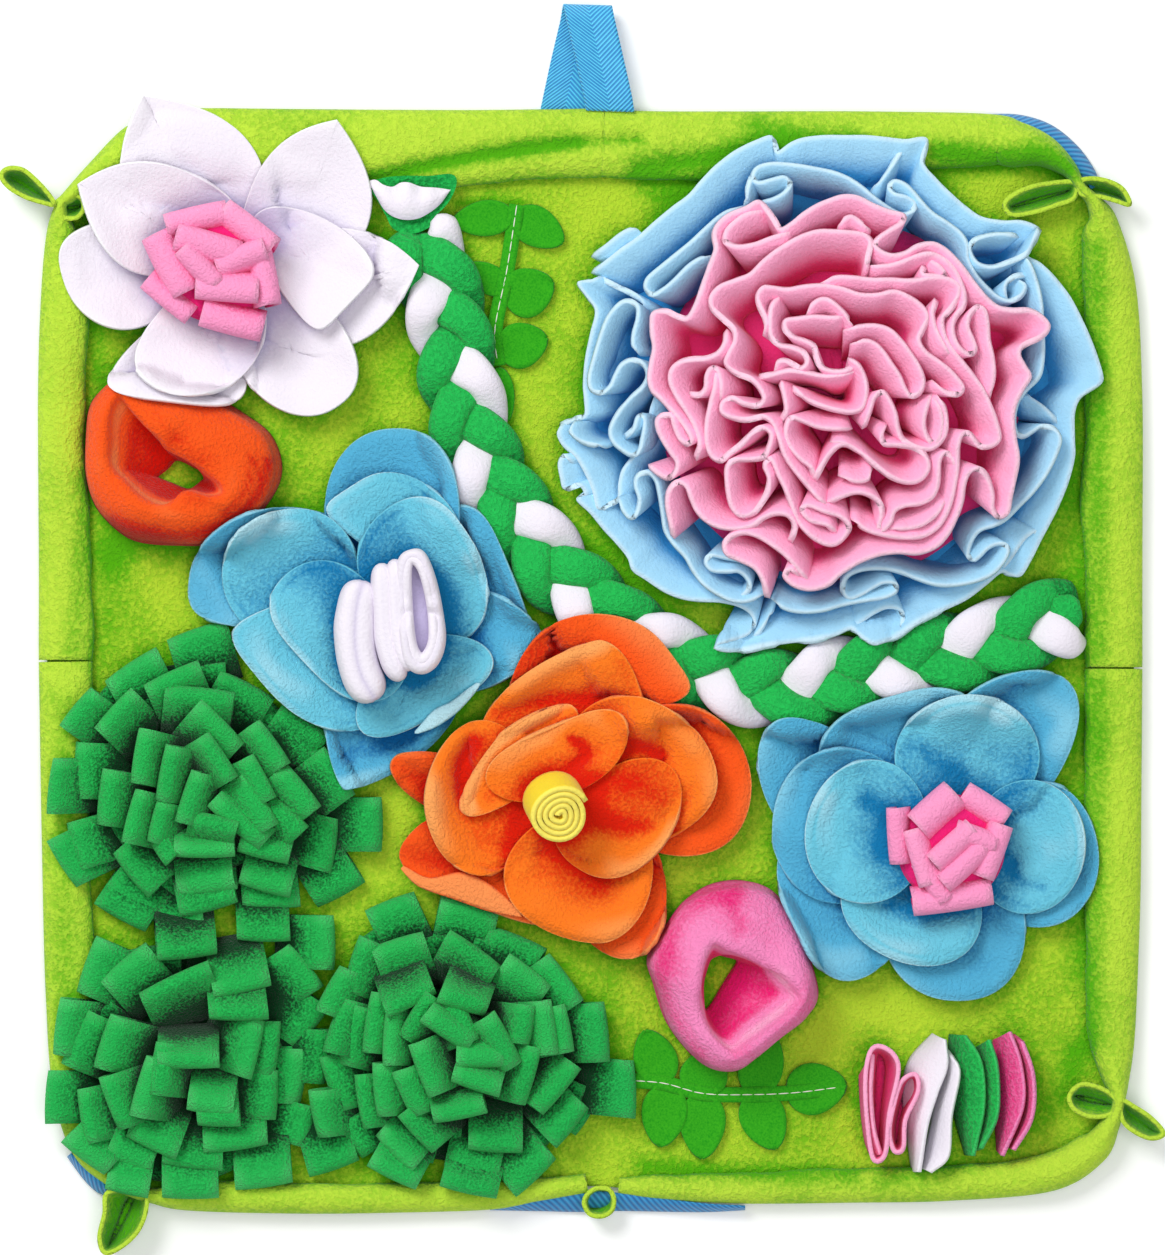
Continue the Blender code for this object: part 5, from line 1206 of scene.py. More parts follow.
# %% Ruffle edges
PINK_EDGES = [
    (648, 468, 657, 476, 666, 480, 673, 474, 675, 464, 669, 455, 662, 444, 656, 432, 655, 421, 661, 417,
     669, 418, 672, 428, 677, 440, 684, 446, 689, 443, 687, 436, 679, 424, 668, 411, 657, 399, 650, 392,
     647, 380, 649, 365, 652, 350, 650, 335, 650, 318, 655, 313, 665, 313, 675, 318, 685, 320, 692, 310,
     698, 295, 703, 280, 709, 264, 714, 250, 712, 236, 717, 225, 728, 216, 745, 209, 757, 203, 765, 211,
     772, 221, 779, 231, 790, 225, 800, 217, 812, 209, 825, 203, 840, 198, 856, 199, 872, 207, 888, 213,
     902, 217, 899, 225, 889, 231, 877, 239, 873, 246, 879, 253, 890, 257, 902, 255, 915, 248, 930, 245,
     942, 250, 953, 260, 963, 272, 974, 287, 985, 300, 997, 309, 1012, 312, 1028, 312, 1040, 318, 1047, 328,
     1040, 338, 1022, 347, 1017, 356, 1023, 368, 1028, 378, 1020, 392, 1013, 407, 1011, 422, 1013, 440,
     1016, 460, 1013, 480, 1009, 498, 1006, 514, 997, 519, 991, 510, 991, 496, 986, 480, 977, 471, 967, 475,
     962, 488, 960, 503, 954, 520, 945, 537, 933, 549, 915, 555, 895, 554, 875, 557, 855, 565, 838, 576,
     825, 587, 808, 591, 792, 587, 783, 578, 788, 571, 797, 578),
    (805, 582, 793, 568, 783, 557, 770, 547, 755, 538, 741, 535, 728, 539, 722, 547, 725, 556, 738, 562,
     752, 569, 760, 580, 766, 598),
    (672, 538, 668, 522, 665, 505, 667, 492, 675, 484, 684, 488, 689, 500, 695, 513, 705, 523, 718, 529,
     735, 531, 750, 528, 760, 521, 772, 516, 784, 517, 791, 524, 792, 534, 788, 543),
    (762, 212, 746, 215, 733, 223, 724, 233, 723, 243, 735, 248, 752, 246, 768, 240, 790, 233),
    (864, 272, 866, 258, 869, 243, 862, 236, 850, 234, 835, 233, 815, 233, 795, 240, 775, 252, 760, 264,
     748, 276, 733, 282, 718, 288, 709, 298, 709, 309, 720, 320, 731, 331, 732, 343, 726, 355, 723, 366,
     733, 375, 748, 381, 757, 391, 761, 401, 754, 408, 741, 406, 729, 400, 720, 404, 719, 414, 729, 420,
     745, 422, 760, 419, 770, 426, 776, 441, 782, 458, 792, 473, 804, 487, 814, 499, 824, 508),
    (838, 230, 842, 221, 850, 218, 859, 224, 867, 232),
    (713, 372, 712, 388, 708, 405, 704, 425, 704, 445, 709, 458, 718, 463, 726, 456, 738, 447, 748, 436,
     759, 430, 768, 436, 766, 449, 760, 460, 745, 462, 730, 463, 724, 472, 725, 490, 729, 508, 738, 518,
     750, 516, 758, 507, 765, 494, 766, 480, 762, 468, 768, 461, 776, 478, 783, 492, 789, 508, 795, 523,
     805, 535, 818, 544, 831, 547, 842, 540, 847, 529, 838, 519, 822, 514, 806, 508, 799, 513, 808, 523,
     824, 527, 833, 534),
    (724, 333, 722, 345, 715, 355, 704, 360, 690, 361, 677, 364, 669, 372, 668, 384, 674, 398, 683, 412,
     692, 428, 697, 445, 694, 460),
    (718, 402, 718, 385, 714, 371, 708, 370, 704, 378, 703, 390, 697, 397, 688, 396),
    (762, 336, 763, 322, 757, 308, 755, 297, 761, 289, 771, 289, 785, 291, 803, 288, 822, 287, 840, 290,
     858, 296, 876, 296, 893, 293, 908, 299, 920, 308, 926, 319, 921, 331, 917, 342, 924, 354, 937, 363,
     950, 374, 961, 388, 958, 396, 946, 395, 936, 388, 930, 384),
    (776, 299, 769, 308, 767, 322, 768, 338, 776, 346, 790, 349, 801, 354, 804, 364, 798, 370, 790, 366,
     782, 362, 775, 364, 772, 374),
    (843, 318, 830, 319, 812, 318, 795, 320, 783, 322, 782, 331, 790, 338, 802, 342, 811, 347, 813, 357,
     817, 367, 828, 372, 842, 372, 853, 367),
    (806, 318, 808, 308, 817, 301, 826, 301, 836, 308, 845, 318, 850, 330),
    (869, 268, 885, 267, 900, 263, 915, 257, 930, 255, 943, 261, 953, 271, 959, 283, 963, 296, 962, 308,
     955, 317, 951, 328, 953, 341, 959, 351, 968, 356, 974, 352, 971, 341, 966, 329, 968, 317, 976, 308,
     983, 312, 986, 325, 987, 342, 991, 360, 992, 378, 988, 398),
    (820, 285, 833, 279, 850, 279, 870, 281, 890, 281, 910, 282, 930, 279, 946, 280, 957, 287, 957, 297,
     950, 309, 941, 321, 943, 337, 950, 350, 960, 363, 971, 377, 981, 391, 989, 408, 995, 425, 998, 440,
     990, 448, 978, 448, 968, 436, 960, 437, 956, 450, 956, 468, 953, 488, 948, 508, 938, 527, 922, 538,
     902, 540, 880, 537, 862, 531, 850, 520),
    (922, 268, 921, 276, 932, 277, 944, 277, 938, 268, 928, 262),
    (843, 332, 857, 328, 873, 327, 887, 331, 898, 341, 908, 354, 917, 368, 922, 383, 918, 395, 909, 398,
     903, 390, 898, 378, 890, 366, 882, 354, 873, 345, 862, 342, 850, 346),
    (934, 302, 931, 315, 934, 330, 941, 345, 950, 358),
    (930, 398, 925, 410, 922, 425, 925, 438, 932, 446, 938, 440, 941, 425, 938, 410, 931, 400),
    (862, 430, 868, 415, 873, 400, 881, 394, 888, 402, 894, 416, 896, 430, 902, 443, 915, 450, 930, 451,
     942, 440, 945, 425, 942, 408, 934, 398),
    (884, 428, 880, 438, 883, 447, 897, 448, 912, 450, 924, 458, 927, 470, 919, 482, 905, 485, 888, 479,
     872, 467, 857, 455, 843, 447, 830, 445),
    (825, 505, 843, 498, 855, 495, 868, 498, 878, 506, 880, 518, 877, 530, 881, 533, 889, 524, 893, 513,
     903, 508, 918, 506, 930, 500, 936, 488, 937, 474, 938, 462, 943, 455, 951, 460, 955, 472),
    (886, 530, 900, 531, 918, 528, 934, 517, 945, 500),
    (848, 432, 830, 432, 815, 430, 800, 424, 788, 420, 783, 428, 783, 440, 789, 452, 798, 462, 808, 470,
     812, 480),
    (852, 449, 838, 448, 828, 456, 820, 468, 812, 482),
    (757, 379, 770, 376, 786, 372, 803, 374, 820, 377, 838, 376, 853, 371),
    (778, 384, 781, 398, 783, 412, 779, 422),
    (790, 390, 802, 401, 817, 408, 834, 413, 850, 415, 861, 410, 865, 396, 864, 382, 858, 368, 848, 360),
    (868, 470, 866, 482, 852, 484, 838, 478),
]
BLUE_EDGES_LOW = [
    (592, 272, 605, 262, 620, 250, 637, 238, 655, 222, 672, 208, 688, 196, 702, 180, 716, 166, 730, 155,
     742, 148, 755, 142, 770, 137, 774, 145, 777, 153, 790, 144, 805, 139, 825, 137, 845, 137, 865, 137,
     885, 139, 905, 141, 926, 140, 922, 163, 935, 180, 950, 195, 965, 208, 980, 218, 1000, 222, 1020, 222,
     1036, 228, 1037, 237, 1030, 250, 1026, 257, 1040, 265, 1055, 280, 1070, 300, 1085, 330, 1095, 355,
     1101, 375, 1100, 384, 1088, 392, 1078, 400, 1073, 415, 1073, 440, 1073, 458, 1067, 482, 1058, 505,
     1048, 525, 1040, 540, 1030, 560, 1020, 576, 1009, 576, 1000, 573, 985, 585, 965, 600, 940, 612, 915,
     625, 898, 637, 885, 642, 872, 645, 860, 638, 850, 630, 835, 636, 815, 641, 790, 643, 765, 647, 745,
     651, 725, 652, 713, 648, 722, 644, 737, 640, 749, 634, 753, 624, 749, 614, 738, 607, 722, 603, 705,
     602, 685, 600, 665, 593, 645, 580, 632, 571, 627, 558, 615, 543, 603, 530, 590, 514, 576, 500, 584,
     495, 578, 486, 564, 490, 560, 478, 558, 464, 563, 457, 574, 466),
    (565, 424, 557, 433, 562, 446, 575, 458, 585, 475, 592, 492, 597, 510, 607, 506, 617, 500, 618, 485,
     622, 470, 632, 457, 641, 443, 647, 425, 650, 408, 656, 392),
    (560, 426, 572, 420, 584, 416, 584, 400, 583, 385, 585, 360, 590, 335, 595, 312, 586, 298, 577, 284,
     589, 281, 600, 279),
    (600, 279, 615, 287, 628, 293, 640, 302, 647, 312), (1022, 395, 1036, 402, 1048, 412, 1058, 424),
    (903, 146, 893, 162, 882, 178, 872, 192), (772, 606, 768, 618, 760, 632, 752, 640),
    (592, 256, 606, 245, 620, 234, 632, 229, 638, 237),
    (900, 633, 903, 620, 898, 611, 886, 609, 874, 614, 862, 622, 850, 629),
    (1000, 572, 1010, 560, 1018, 548, 1026, 538, 1035, 533, 1040, 540),
]
BLUE_EDGES_HIGH = [
    (740, 208, 722, 215, 706, 228, 690, 243, 673, 257, 657, 270, 646, 280, 644, 290, 651, 296, 661, 291,
     673, 281, 687, 267, 700, 259, 712, 258),
    (640, 355, 632, 348, 632, 335, 636, 320, 636, 308, 628, 302, 618, 305, 607, 318, 600, 335, 593, 358,
     588, 378, 590, 391, 600, 394, 609, 387, 614, 376, 620, 366, 630, 361, 641, 365, 646, 376, 641, 388,
     628, 400, 616, 415, 609, 430, 611, 442, 620, 451, 631, 457, 638, 451, 641, 438, 643, 424, 641, 417,
     636, 418, 632, 430, 624, 438),
    (606, 447, 590, 446, 577, 441, 569, 432, 574, 424),
    (618, 500, 622, 512, 630, 520, 636, 512, 638, 500, 634, 487, 636, 477, 646, 474, 654, 481, 658, 496,
     661, 515, 664, 532, 672, 545, 684, 558, 692, 572, 702, 585, 716, 595, 732, 602, 748, 602, 764, 594),
    (766, 592, 762, 578, 753, 567, 737, 562, 722, 559, 709, 557, 704, 564, 711, 572, 725, 573, 738, 573,
     747, 582, 747, 592, 738, 600),
    (772, 600, 782, 609, 798, 613, 820, 612, 842, 606, 863, 602, 882, 599, 895, 593, 893, 585, 882, 584,
     872, 589, 860, 596, 848, 600, 841, 592, 845, 579, 858, 572, 878, 570, 897, 573, 915, 580, 935, 586,
     955, 586, 975, 582, 992, 574, 1004, 560, 1007, 549, 998, 545, 987, 549, 979, 557, 972, 562, 967, 556,
     970, 543, 978, 532, 992, 527, 1004, 521, 1016, 509, 1031, 494, 1045, 475, 1055, 455, 1059, 440, 1053,
     430, 1040, 428, 1030, 434, 1022, 438, 1015, 434, 1013, 420, 1016, 405, 1022, 395, 1034, 383, 1040, 372,
     1042, 350, 1041, 325, 1040, 305, 1036, 285, 1030, 268, 1024, 258),
    (760, 203, 772, 200, 784, 193, 789, 184, 783, 178, 770, 181, 757, 184, 751, 178, 756, 169, 770, 165,
     790, 166, 810, 169, 830, 173, 846, 179, 860, 188, 872, 198, 886, 208, 900, 215, 911, 212, 914, 204,
     905, 198, 893, 195, 888, 188, 893, 182, 903, 185, 912, 193, 921, 204, 932, 215, 946, 224, 959, 234,
     966, 246, 967, 260, 974, 275, 985, 288, 997, 298, 1010, 302, 1021, 296, 1024, 286, 1015, 281),
    (1038, 230, 1032, 243, 1025, 255, 1008, 263, 990, 268, 976, 264, 969, 252, 972, 242, 984, 237, 1000,
     235, 1016, 237),
    (745, 206, 746, 190, 751, 177), (1006, 302, 1004, 288, 1012, 278, 1024, 276),
]


# %% Ruffles
def hung(edge, centre, top, depth, reach, step=1.25, rows=11, soften=8.0, steep=1.7):
    """Cloth hung from one edge line. The foot is the edge averaged over 2 * soften mm of its run, so folds
    fade, and drawn `reach` mm towards the centre. Between them the plan goes straight and the height
    rises as 1 - (1 - t)^steep, so the cloth flares out to its edge. Both ends of the edge dip."""
    line = page(np.array(edge).reshape(-1, 2))
    run = np.hypot(*np.diff(line, axis=0).T).sum()
    count = max(16, int(run / step))
    rim = smooth(line, count)
    half = int(soften / step)
    padded = np.pad(rim, ((half, half), (0, 0)), mode="reflect", reflect_type="odd")
    sums = np.cumsum(np.concatenate([np.zeros((1, 2)), padded]), axis=0)
    calm = (sums[2 * half + 1:] - sums[:-2 * half - 1]) / (2 * half + 1)
    away = calm - np.array(centre)
    far = np.maximum(np.hypot(away[:, 0], away[:, 1]), 1e-3)
    pull = np.minimum(reach(far), 0.75 * far)
    foot = calm - away * (pull / far)[:, None]
    out = np.hypot(*(rim - np.array(centre)).T)
    s = np.arange(count) * step
    end = np.clip(np.minimum(s, s[::-1]) / 5.0, 0, 1)
    high = top(out) + 0.7 * ripple(s / 6, len(edge)) - 4.0 * (1 - end) ** 2
    low = np.maximum(high - depth(out), 3.2)
    t = np.linspace(0, 1, rows)[None, :]
    plan = foot[:, None] + (rim - foot)[:, None] * t[..., None]
    z = low[:, None] + (high - low)[:, None] * (1 - (1 - t) ** steep)
    z = np.maximum(z, support(plan[..., 0], plan[..., 1]) + 0.6 + 2.0 * t)
    # painted shade that deepens from the edge down to the foot; the edge is pale, a cut edge with a painted
    # highlight
    tone = np.where(t > 0.95, 0.95, 0.48 - 1.50 * (1 - t) ** 1.15) + 0 * z
    return lifted(plan, z, tone)


def gathered_foot(centre, inside, outside, low, dome):
    """The strip's sewn foot, painted in deep shade: it lies between the coils in small radial puckers, so no
    base shows.
    """
    a = np.linspace(0, 2 * np.pi, 160, endpoint=False)[None, :]
    r = np.linspace(inside, outside, 12)[:, None]
    z = low + dome * (1 - (r / outside) ** 2) + 0.6 * np.sin(23 * a + 0.2 * r)
    return patch(np.stack([centre[0] + r * np.cos(a), centre[1] + r * np.sin(a), z], -1), -0.80,
                 closed=True, capped=inside < 2)


BLUE_CENTRE = page([(829, 395)])[0]
blue = [hung(edge, BLUE_CENTRE, lambda r: 19 - 0.06 * (r - 100), lambda r: 15 + 0 * r, lambda r: 24 + 0 * r)
        for edge in BLUE_EDGES_LOW]
blue += [hung(edge, BLUE_CENTRE, lambda r: 27 - 0.10 * (r - 90), lambda r: 22 + 0 * r, lambda r: 13 + 0 * r)
         for edge in BLUE_EDGES_HIGH]
made = piece("ruffle_blue", blue + [gathered_foot(BLUE_CENTRE, 50, 100, 4.6, 2.0)], SKY, thickness=2.6)
for sheet in blue:
    settle(sheet["points"])
cut_from(made, 55)

PINK_CENTRE = page([(838, 400)])[0]
pink = [hung(edge, PINK_CENTRE, lambda r: 46 - 11 * np.clip(r / 90, 0, 1.1) ** 2, lambda r: 22 + 4 * (r / 90),
             lambda r: 9 + 10 * np.clip(r / 90, 0, 1)) for edge in PINK_EDGES]
made = piece("ruffle_pink", pink + [gathered_foot(PINK_CENTRE, 0.5, 82, 9.0, 9.0)], ROSE, thickness=2.8)
for sheet in pink:
    settle(sheet["points"])
cut_from(made, 48)
print("ruffles:", len(BLUE_EDGES_LOW) + len(BLUE_EDGES_HIGH), "blue edges,", len(PINK_EDGES), "pink edges")

# %% [markdown]
# Each flower is a stack of separate petals. A petal is a paddle: narrow at its root and round or pointed at
# its tip. Two powers set those ends, so eight numbers give the outline: root, tip, width, how round the
# root is, how pointed the tip is, and how much it bends. The grid is a set of rings from the middle of the
# petal to that outline. It is lifted like a shallow spoon and draped over the petals below it.
# The outlines were read off the page as points. A small random search then fitted the eight numbers
# to them, and five of the white petals were changed after that.

# %% Petals
RING_SHARES = np.array([0.0, 0.08, 0.16, 0.24, 0.32, 0.40, 0.48, 0.56, 0.63, 0.69, 0.75, 0.80, 0.85, 0.89,
                        0.925, 0.955, 0.98, 1.0])


def petal_outline(root_u, root_v, tip_u, tip_v, width, root_round, tip_point, bend, count=92):
    """At share a of the length the half-width is a^root_round * (1 - a)^tip_point over its largest value,
    times half the width. A tip_point above 1 gives full shoulders that meet in a corner, 1 - a^tip_point.
    The middle line bows sideways by bend * 2a(1 - a) of the length."""
    root, tip = page([(root_u, root_v), (tip_u, tip_v)])
    length = np.linalg.norm(tip - root)
    ahead = (tip - root) / length
    side = np.array([ahead[1], -ahead[0]])
    phi = np.linspace(0, 2 * np.pi, count, endpoint=False) + 0.01
    a = (1 - np.cos(phi)) / 2
    end = (1 - a) ** tip_point if tip_point < 1 else 1 - a**tip_point
    swell = a**root_round * end
    half = swell / swell.max() * np.sign(np.sin(phi)) * width * SQUARE / 2
    bow = bend * length * 2 * a * (1 - a)
    line = root + (a * length)[:, None] * ahead + (half + bow)[:, None] * side
    middle = root + 0.52 * length * ahead + bend * length * 0.5 * side
    return line, middle, root, ahead, length


# page line, width mm, height mm (up or down), change of tone: the main folds of the petals. The lines were
# read off the page; the dark folds, but for those of the light-blue flower, were then widened and weakened.
# their tones are painted shade in the dips and painted light on the raised folds
PETAL_FOLDS = {
    "petal_light_blue_front_top": [
        ([(930, 715), (965, 702), (1000, 715)], 9.0, 1.0, 0.35),
        ([(918, 745), (938, 762), (958, 772)], 5.0, -0.6, -0.35),
        ([(975, 760), (1000, 775), (1010, 800)], 6.0, 1.0, 0.30)],
    "petal_light_blue_front_right": [
        ([(1020, 830), (1045, 850), (1030, 880)], 8.0, 1.2, 0.45),
        ([(1010, 865), (1020, 880), (1040, 885)], 3.4, -1.6, -0.60)],
    "petal_light_blue_front_left": [
        ([(825, 800), (830, 840), (850, 880)], 8.0, 1.0, 0.35),
        ([(865, 800), (885, 815), (880, 850)], 5.0, -1.4, -0.50)],
    "petal_light_blue_front_bottom": [
        ([(860, 925), (900, 945), (950, 935)], 7.0, 1.0, 0.30),
        ([(890, 905), (925, 915), (960, 905)], 5.0, -1.0, -0.45)],
    "petals_light_blue_back": [
        ([(1040, 700), (1062, 720), (1052, 745)], 7.0, 0.8, 0.40),
        ([(800, 940), (830, 955), (860, 950)], 7.0, 0.8, 0.40),
        ([(990, 945), (1010, 960), (1000, 980)], 7.0, 0.6, 0.30),
        ([(850, 705), (880, 698), (920, 692)], 4.0, 0.6, 0.35)],
    "petal_orange_front_top": [
        ([(515, 692), (540, 668), (575, 648), (602, 645)], 6.5, 2.4, 0.45),
        ([(498, 712), (530, 701), (570, 697), (612, 700)], 5.0, -2.0, -0.61),
        ([(620, 660), (636, 690), (640, 712)], 4.5, -0.6, -0.25)],
    "petal_orange_front_right": [
        ([(612, 752), (632, 744), (648, 747), (660, 756)], 3.8, -2.6, -0.83),
        ([(640, 712), (665, 722), (690, 745)], 6.0, 1.6, 0.30),
        ([(690, 790), (675, 825), (662, 840)], 4.5, -1.0, -0.36)],
    "petal_orange_front_lower_right": [
        ([(590, 790), (596, 812), (618, 824), (648, 826)], 5.2, -1.8, -0.61),
        ([(596, 846), (622, 866), (655, 856), (676, 830)], 6.5, 2.0, 0.35),
        ([(600, 778), (635, 783), (660, 800)], 5.6, 0.8, -0.25)],
    "petal_orange_front_left": [
        ([(474, 742), (462, 765), (462, 788), (470, 802)], 4.7, -3.0, -0.97),
        ([(430, 790), (440, 828), (468, 858), (500, 866)], 8.0, 2.2, 0.40),
        ([(523, 812), (512, 838), (505, 866)], 4.5, -1.4, -0.54),
        ([(440, 745), (470, 728), (490, 722)], 5.0, 0.8, 0.20)],
    "petal_orange_front_bottom": [
        ([(524, 862), (532, 838), (550, 818)], 6.0, 1.8, 0.35),
        ([(562, 836), (585, 862), (600, 884)], 8.4, -1.6, -0.47),
        ([(540, 900), (580, 925), (625, 925)], 7.0, 1.2, 0.30)],
    "petal_orange_inner_left": [
        ([(585, 703), (560, 705), (522, 720), (490, 746), (473, 782), (466, 806)], 5.2, 1.6, 0.85),
        ([(466, 808), (485, 812), (505, 808)], 5.0, 0.6, 0.80)],
    "petal_orange_inner_top": [
        ([(570, 737), (582, 745), (585, 755), (574, 766)], 2.7, -3.0, -0.94),
        ([(503, 792), (508, 768), (530, 748), (558, 738)], 6.0, 1.0, 0.35),
        ([(598, 722), (614, 742), (604, 764)], 6.5, 2.6, 0.45),
        ([(545, 790), (580, 790), (600, 778)], 5.0, -1.2, -0.50)],
    "petals_orange_back": [
        ([(545, 640), (575, 625), (610, 622), (640, 640)], 6.0, 1.0, 0.10),
        ([(440, 700), (470, 690), (500, 680)], 5.6, -1.0, -0.50),
        ([(395, 765), (415, 775), (425, 790)], 5.6, -0.8, -0.43),
        ([(405, 850), (425, 860), (450, 868)], 6.7, -0.8, -0.43)],
    "petal_blue_front_top": [
        ([(372, 575), (380, 545), (410, 525)], 8.0, 1.2, 0.35),
        ([(430, 570), (445, 600), (450, 630)], 6.7, -1.6, -0.32)],
    "petal_blue_front_right": [
        ([(470, 560), (484, 590), (480, 620)], 5.0, 1.2, 0.35),
        ([(440, 580), (452, 605), (455, 628)], 6.2, -1.4, -0.36)],
    "petal_blue_front_bottom": [
        ([(400, 690), (430, 700), (460, 680)], 6.0, 1.0, 0.30),
        ([(395, 672), (412, 684), (425, 676)], 5.0, -1.4, -0.58)],
    "petal_blue_front_lower_left": [
        ([(262, 640), (275, 670), (310, 690)], 6.0, 1.0, 0.30),
        ([(322, 610), (335, 640), (345, 670)], 5.6, -1.0, -0.40)],
    "petal_blue_front_upper_left": [
        ([(250, 540), (270, 525), (300, 530)], 6.5, 1.0, 0.35),
        ([(310, 590), (335, 590), (345, 610)], 5.6, -1.0, -0.43)],
    "petal_blue_front_middle_left": [
        ([(300, 660), (312, 690), (345, 712)], 6.0, 1.0, 0.30),
        ([(345, 620), (350, 660), (362, 690)], 5.6, -1.0, -0.43)],
    "petals_blue_back": [
        ([(500, 640), (515, 668), (510, 690)], 6.0, 1.0, 0.35),
        ([(480, 640), (492, 668), (480, 700)], 6.7, -1.2, -0.43),
        ([(345, 760), (375, 748), (410, 740)], 6.7, -1.4, -0.50),
        ([(345, 785), (385, 768), (440, 735)], 4.0, 0.8, 0.45),
        ([(200, 560), (220, 590), (240, 620)], 6.0, 0.8, 0.30)],
}


def petal(row, seed, level=4.0, rise=4.0, cup=3.0, roll=1.6, groove=0.0, wave=0.8, flute=0.0, gap=0.5,
          folds=""):
    """Height = level + rise * a + cup * (share of the way to the rim)^2 - roll in the last few mm, with a
    seeded wave that grows to the rim, an optional stitched groove inside it and pleats near the root."""
    line, middle, root, ahead, length = petal_outline(*row)
    rng = np.random.default_rng(seed)
    share = RING_SHARES[:, None]
    phi = np.linspace(0, 2 * np.pi, len(line), endpoint=False)[None, :]
    x = middle[0] + (line[:, 0] - middle[0])[None, :] * share
    y = middle[1] + (line[:, 1] - middle[1])[None, :] * share
    side = np.array([ahead[1], -ahead[0]])
    a = ((x - root[0]) * ahead[0] + (y - root[1]) * ahead[1]) / length
    across = ((x - root[0]) * side[0] + (y - root[1]) * side[1]) / (row[4] * SQUARE / 2)
    far = np.linalg.norm(line - middle, axis=1)[None, :]
    inset = far * (1 - share)
    edge = np.exp(-(inset / 2.2) ** 2)
    z = level + rise * np.clip(a, 0, 1) ** 1.3 + cup * (share**2) * np.clip(a * 1.4, 0, 1) - roll * edge
    wobble = np.sin(2 * phi + rng.uniform(0, 6)) + 0.7 * np.sin(3 * phi + rng.uniform(0, 6)) \
        + 0.4 * np.sin(5 * phi + rng.uniform(0, 6))
    z = z + wave * wobble * share**2
    pleat = np.exp(-((across - rng.uniform(-0.25, 0.25)) / 0.20) ** 2) * np.clip(0.75 - a, 0, 1)
    z = z - (1.4 + flute) * pleat + 0.8 * np.sin(across * 5 + rng.uniform(0, 6)) * np.clip(1 - a, 0, 1)
    line_dip = np.exp(-((inset - 4.0) / 0.8) ** 2) * groove
    z = z - line_dip
    raised, shade = folds_at(PETAL_FOLDS.get(folds, []), x, y)
    z = drape(x, y, z + raised, gap=gap, closed=True, rounds=30) + 0.35 * raised
    for k, even in ((0, 1.0), (1, 0.7), (2, 0.4), (3, 0.2)):
        z[k] += even * (z[k].mean() - z[k])
    steep = np.clip(support(x, y, 5) + 2 - z, 0, 3)
    # painted light and shade: painted shade near the root, in the pleats and groove and under the petals
    # round it; lighter towards the tip, the outline and the crests of the wave; a painted highlight on the
    # rim; and the painted shade and light of the folds
    tone = (1.05 * np.clip(a, 0, 1) ** 1.1 + 0.20 * share**4 - 0.72 - 0.10 * pleat - 0.22 * line_dip
            + 0.16 * wobble * share**1.5 + np.where(share > 0.985, 0.60, 0) - 0.03 * steep + shade)
    return patch(grid(x, y, z), tone, closed=True)


# page root, page tip, width, root round, tip pointed, bend
WHITE_PETALS = {
    "back_bottom": (182, 307, 171, 403, 135, 0.82, 0.22, -0.19),
    "back_upper": (233, 268, 143, 98, 143, 0.45, 2.3, 0.03),
    "back_upper_right": (255, 290, 338, 122, 122, 0.40, 3.6, 0.14),
    "back_left": (196, 240, 64, 278, 111, 0.57, 0.40, -0.21),
    "back_right": (236, 290, 420, 267, 118, 0.60, 2.6, 0.12),
    "back_lower_right": (251, 282, 340, 406, 109, 0.48, 0.43, 0.08),
    "front_left": (238, 226, 80, 186, 112, 0.45, 2.8, -0.19),
    "front_bottom": (248, 271, 149, 383, 105, 0.46, 0.44, -0.20),
    "front_right": (257, 216, 350, 306, 92, 0.46, 0.14, -0.09),
}
BLUE_BACK = [
    (408, 610, 510, 568, 164, 0.41, 0.23, 0.05), (373, 628, 543, 640, 114, 0.44, 0.64, 0.06),
    (411, 603, 345, 789, 141, 0.43, 0.79, -0.11), (413, 606, 190, 582, 122, 0.56, 0.39, 0.22),
    (400, 614, 395, 429, 135, 0.54, 0.43, -0.05),
]
BLUE_FRONT = {
    "top": (450, 643, 349, 489, 92, 0.67, 0.24, 0.35),
    "upper_left": (347, 631, 239, 533, 137, 0.64, 0.55, 0.07),
    "lower_left": (377, 578, 258, 676, 154, 0.60, 0.30, -0.46),
    "right": (369, 596, 468, 534, 151, 0.49, 0.40, 0.20),
    "bottom": (403, 644, 443, 711, 151, 0.61, 0.32, 0.13),
    "middle_left": (378, 592, 304, 661, 160, 0.38, 0.31, -0.10),
}
ORANGE_BACK = [
    (512, 777, 674, 658, 118, 0.57, 0.26, -0.42), (577, 802, 391, 763, 64, 0.49, 0.48, -0.11),
    (578, 768, 749, 805, 150, 0.60, 0.48, -0.11), (572, 798, 638, 956, 110, 0.43, 0.51, -0.04),
    (513, 794, 468, 901, 189, 0.69, 0.27, -0.28),
]
ORANGE_FRONT = {
    "front_top": (606, 827, 599, 640, 173, 0.53, 0.67, -0.41),
    "front_left": (536, 801, 425, 800, 155, 0.51, 0.55, 0.06),
    "front_bottom": (580, 805, 606, 941, 150, 0.48, 0.60, 0.20),
    "front_right": (562, 818, 712, 757, 154, 0.47, 0.48, -0.22),
    "front_lower_right": (583, 786, 647, 861, 139, 0.39, 0.48, -0.21),
    "inner_left": (543, 779, 501, 734, 153, 0.66, 0.71, -0.14),
    "inner_top": (577, 791, 549, 727, 152, 0.47, 0.28, -0.09),
}
LIGHT_BLUE_BACK = [
    (942, 828, 763, 733, 118, 0.51, 0.48, -0.22), (931, 840, 889, 696, 169, 0.62, 0.34, -0.05),
    (938, 842, 1064, 679, 130, 0.42, 0.51, -0.09), (968, 854, 1097, 868, 146, 0.57, 0.51, -0.12),
    (956, 847, 959, 1000, 143, 0.51, 0.45, 0.06), (935, 859, 794, 928, 161, 0.81, 0.36, 0.10),
    (924, 836, 773, 811, 156, 0.58, 0.48, -0.04),
]
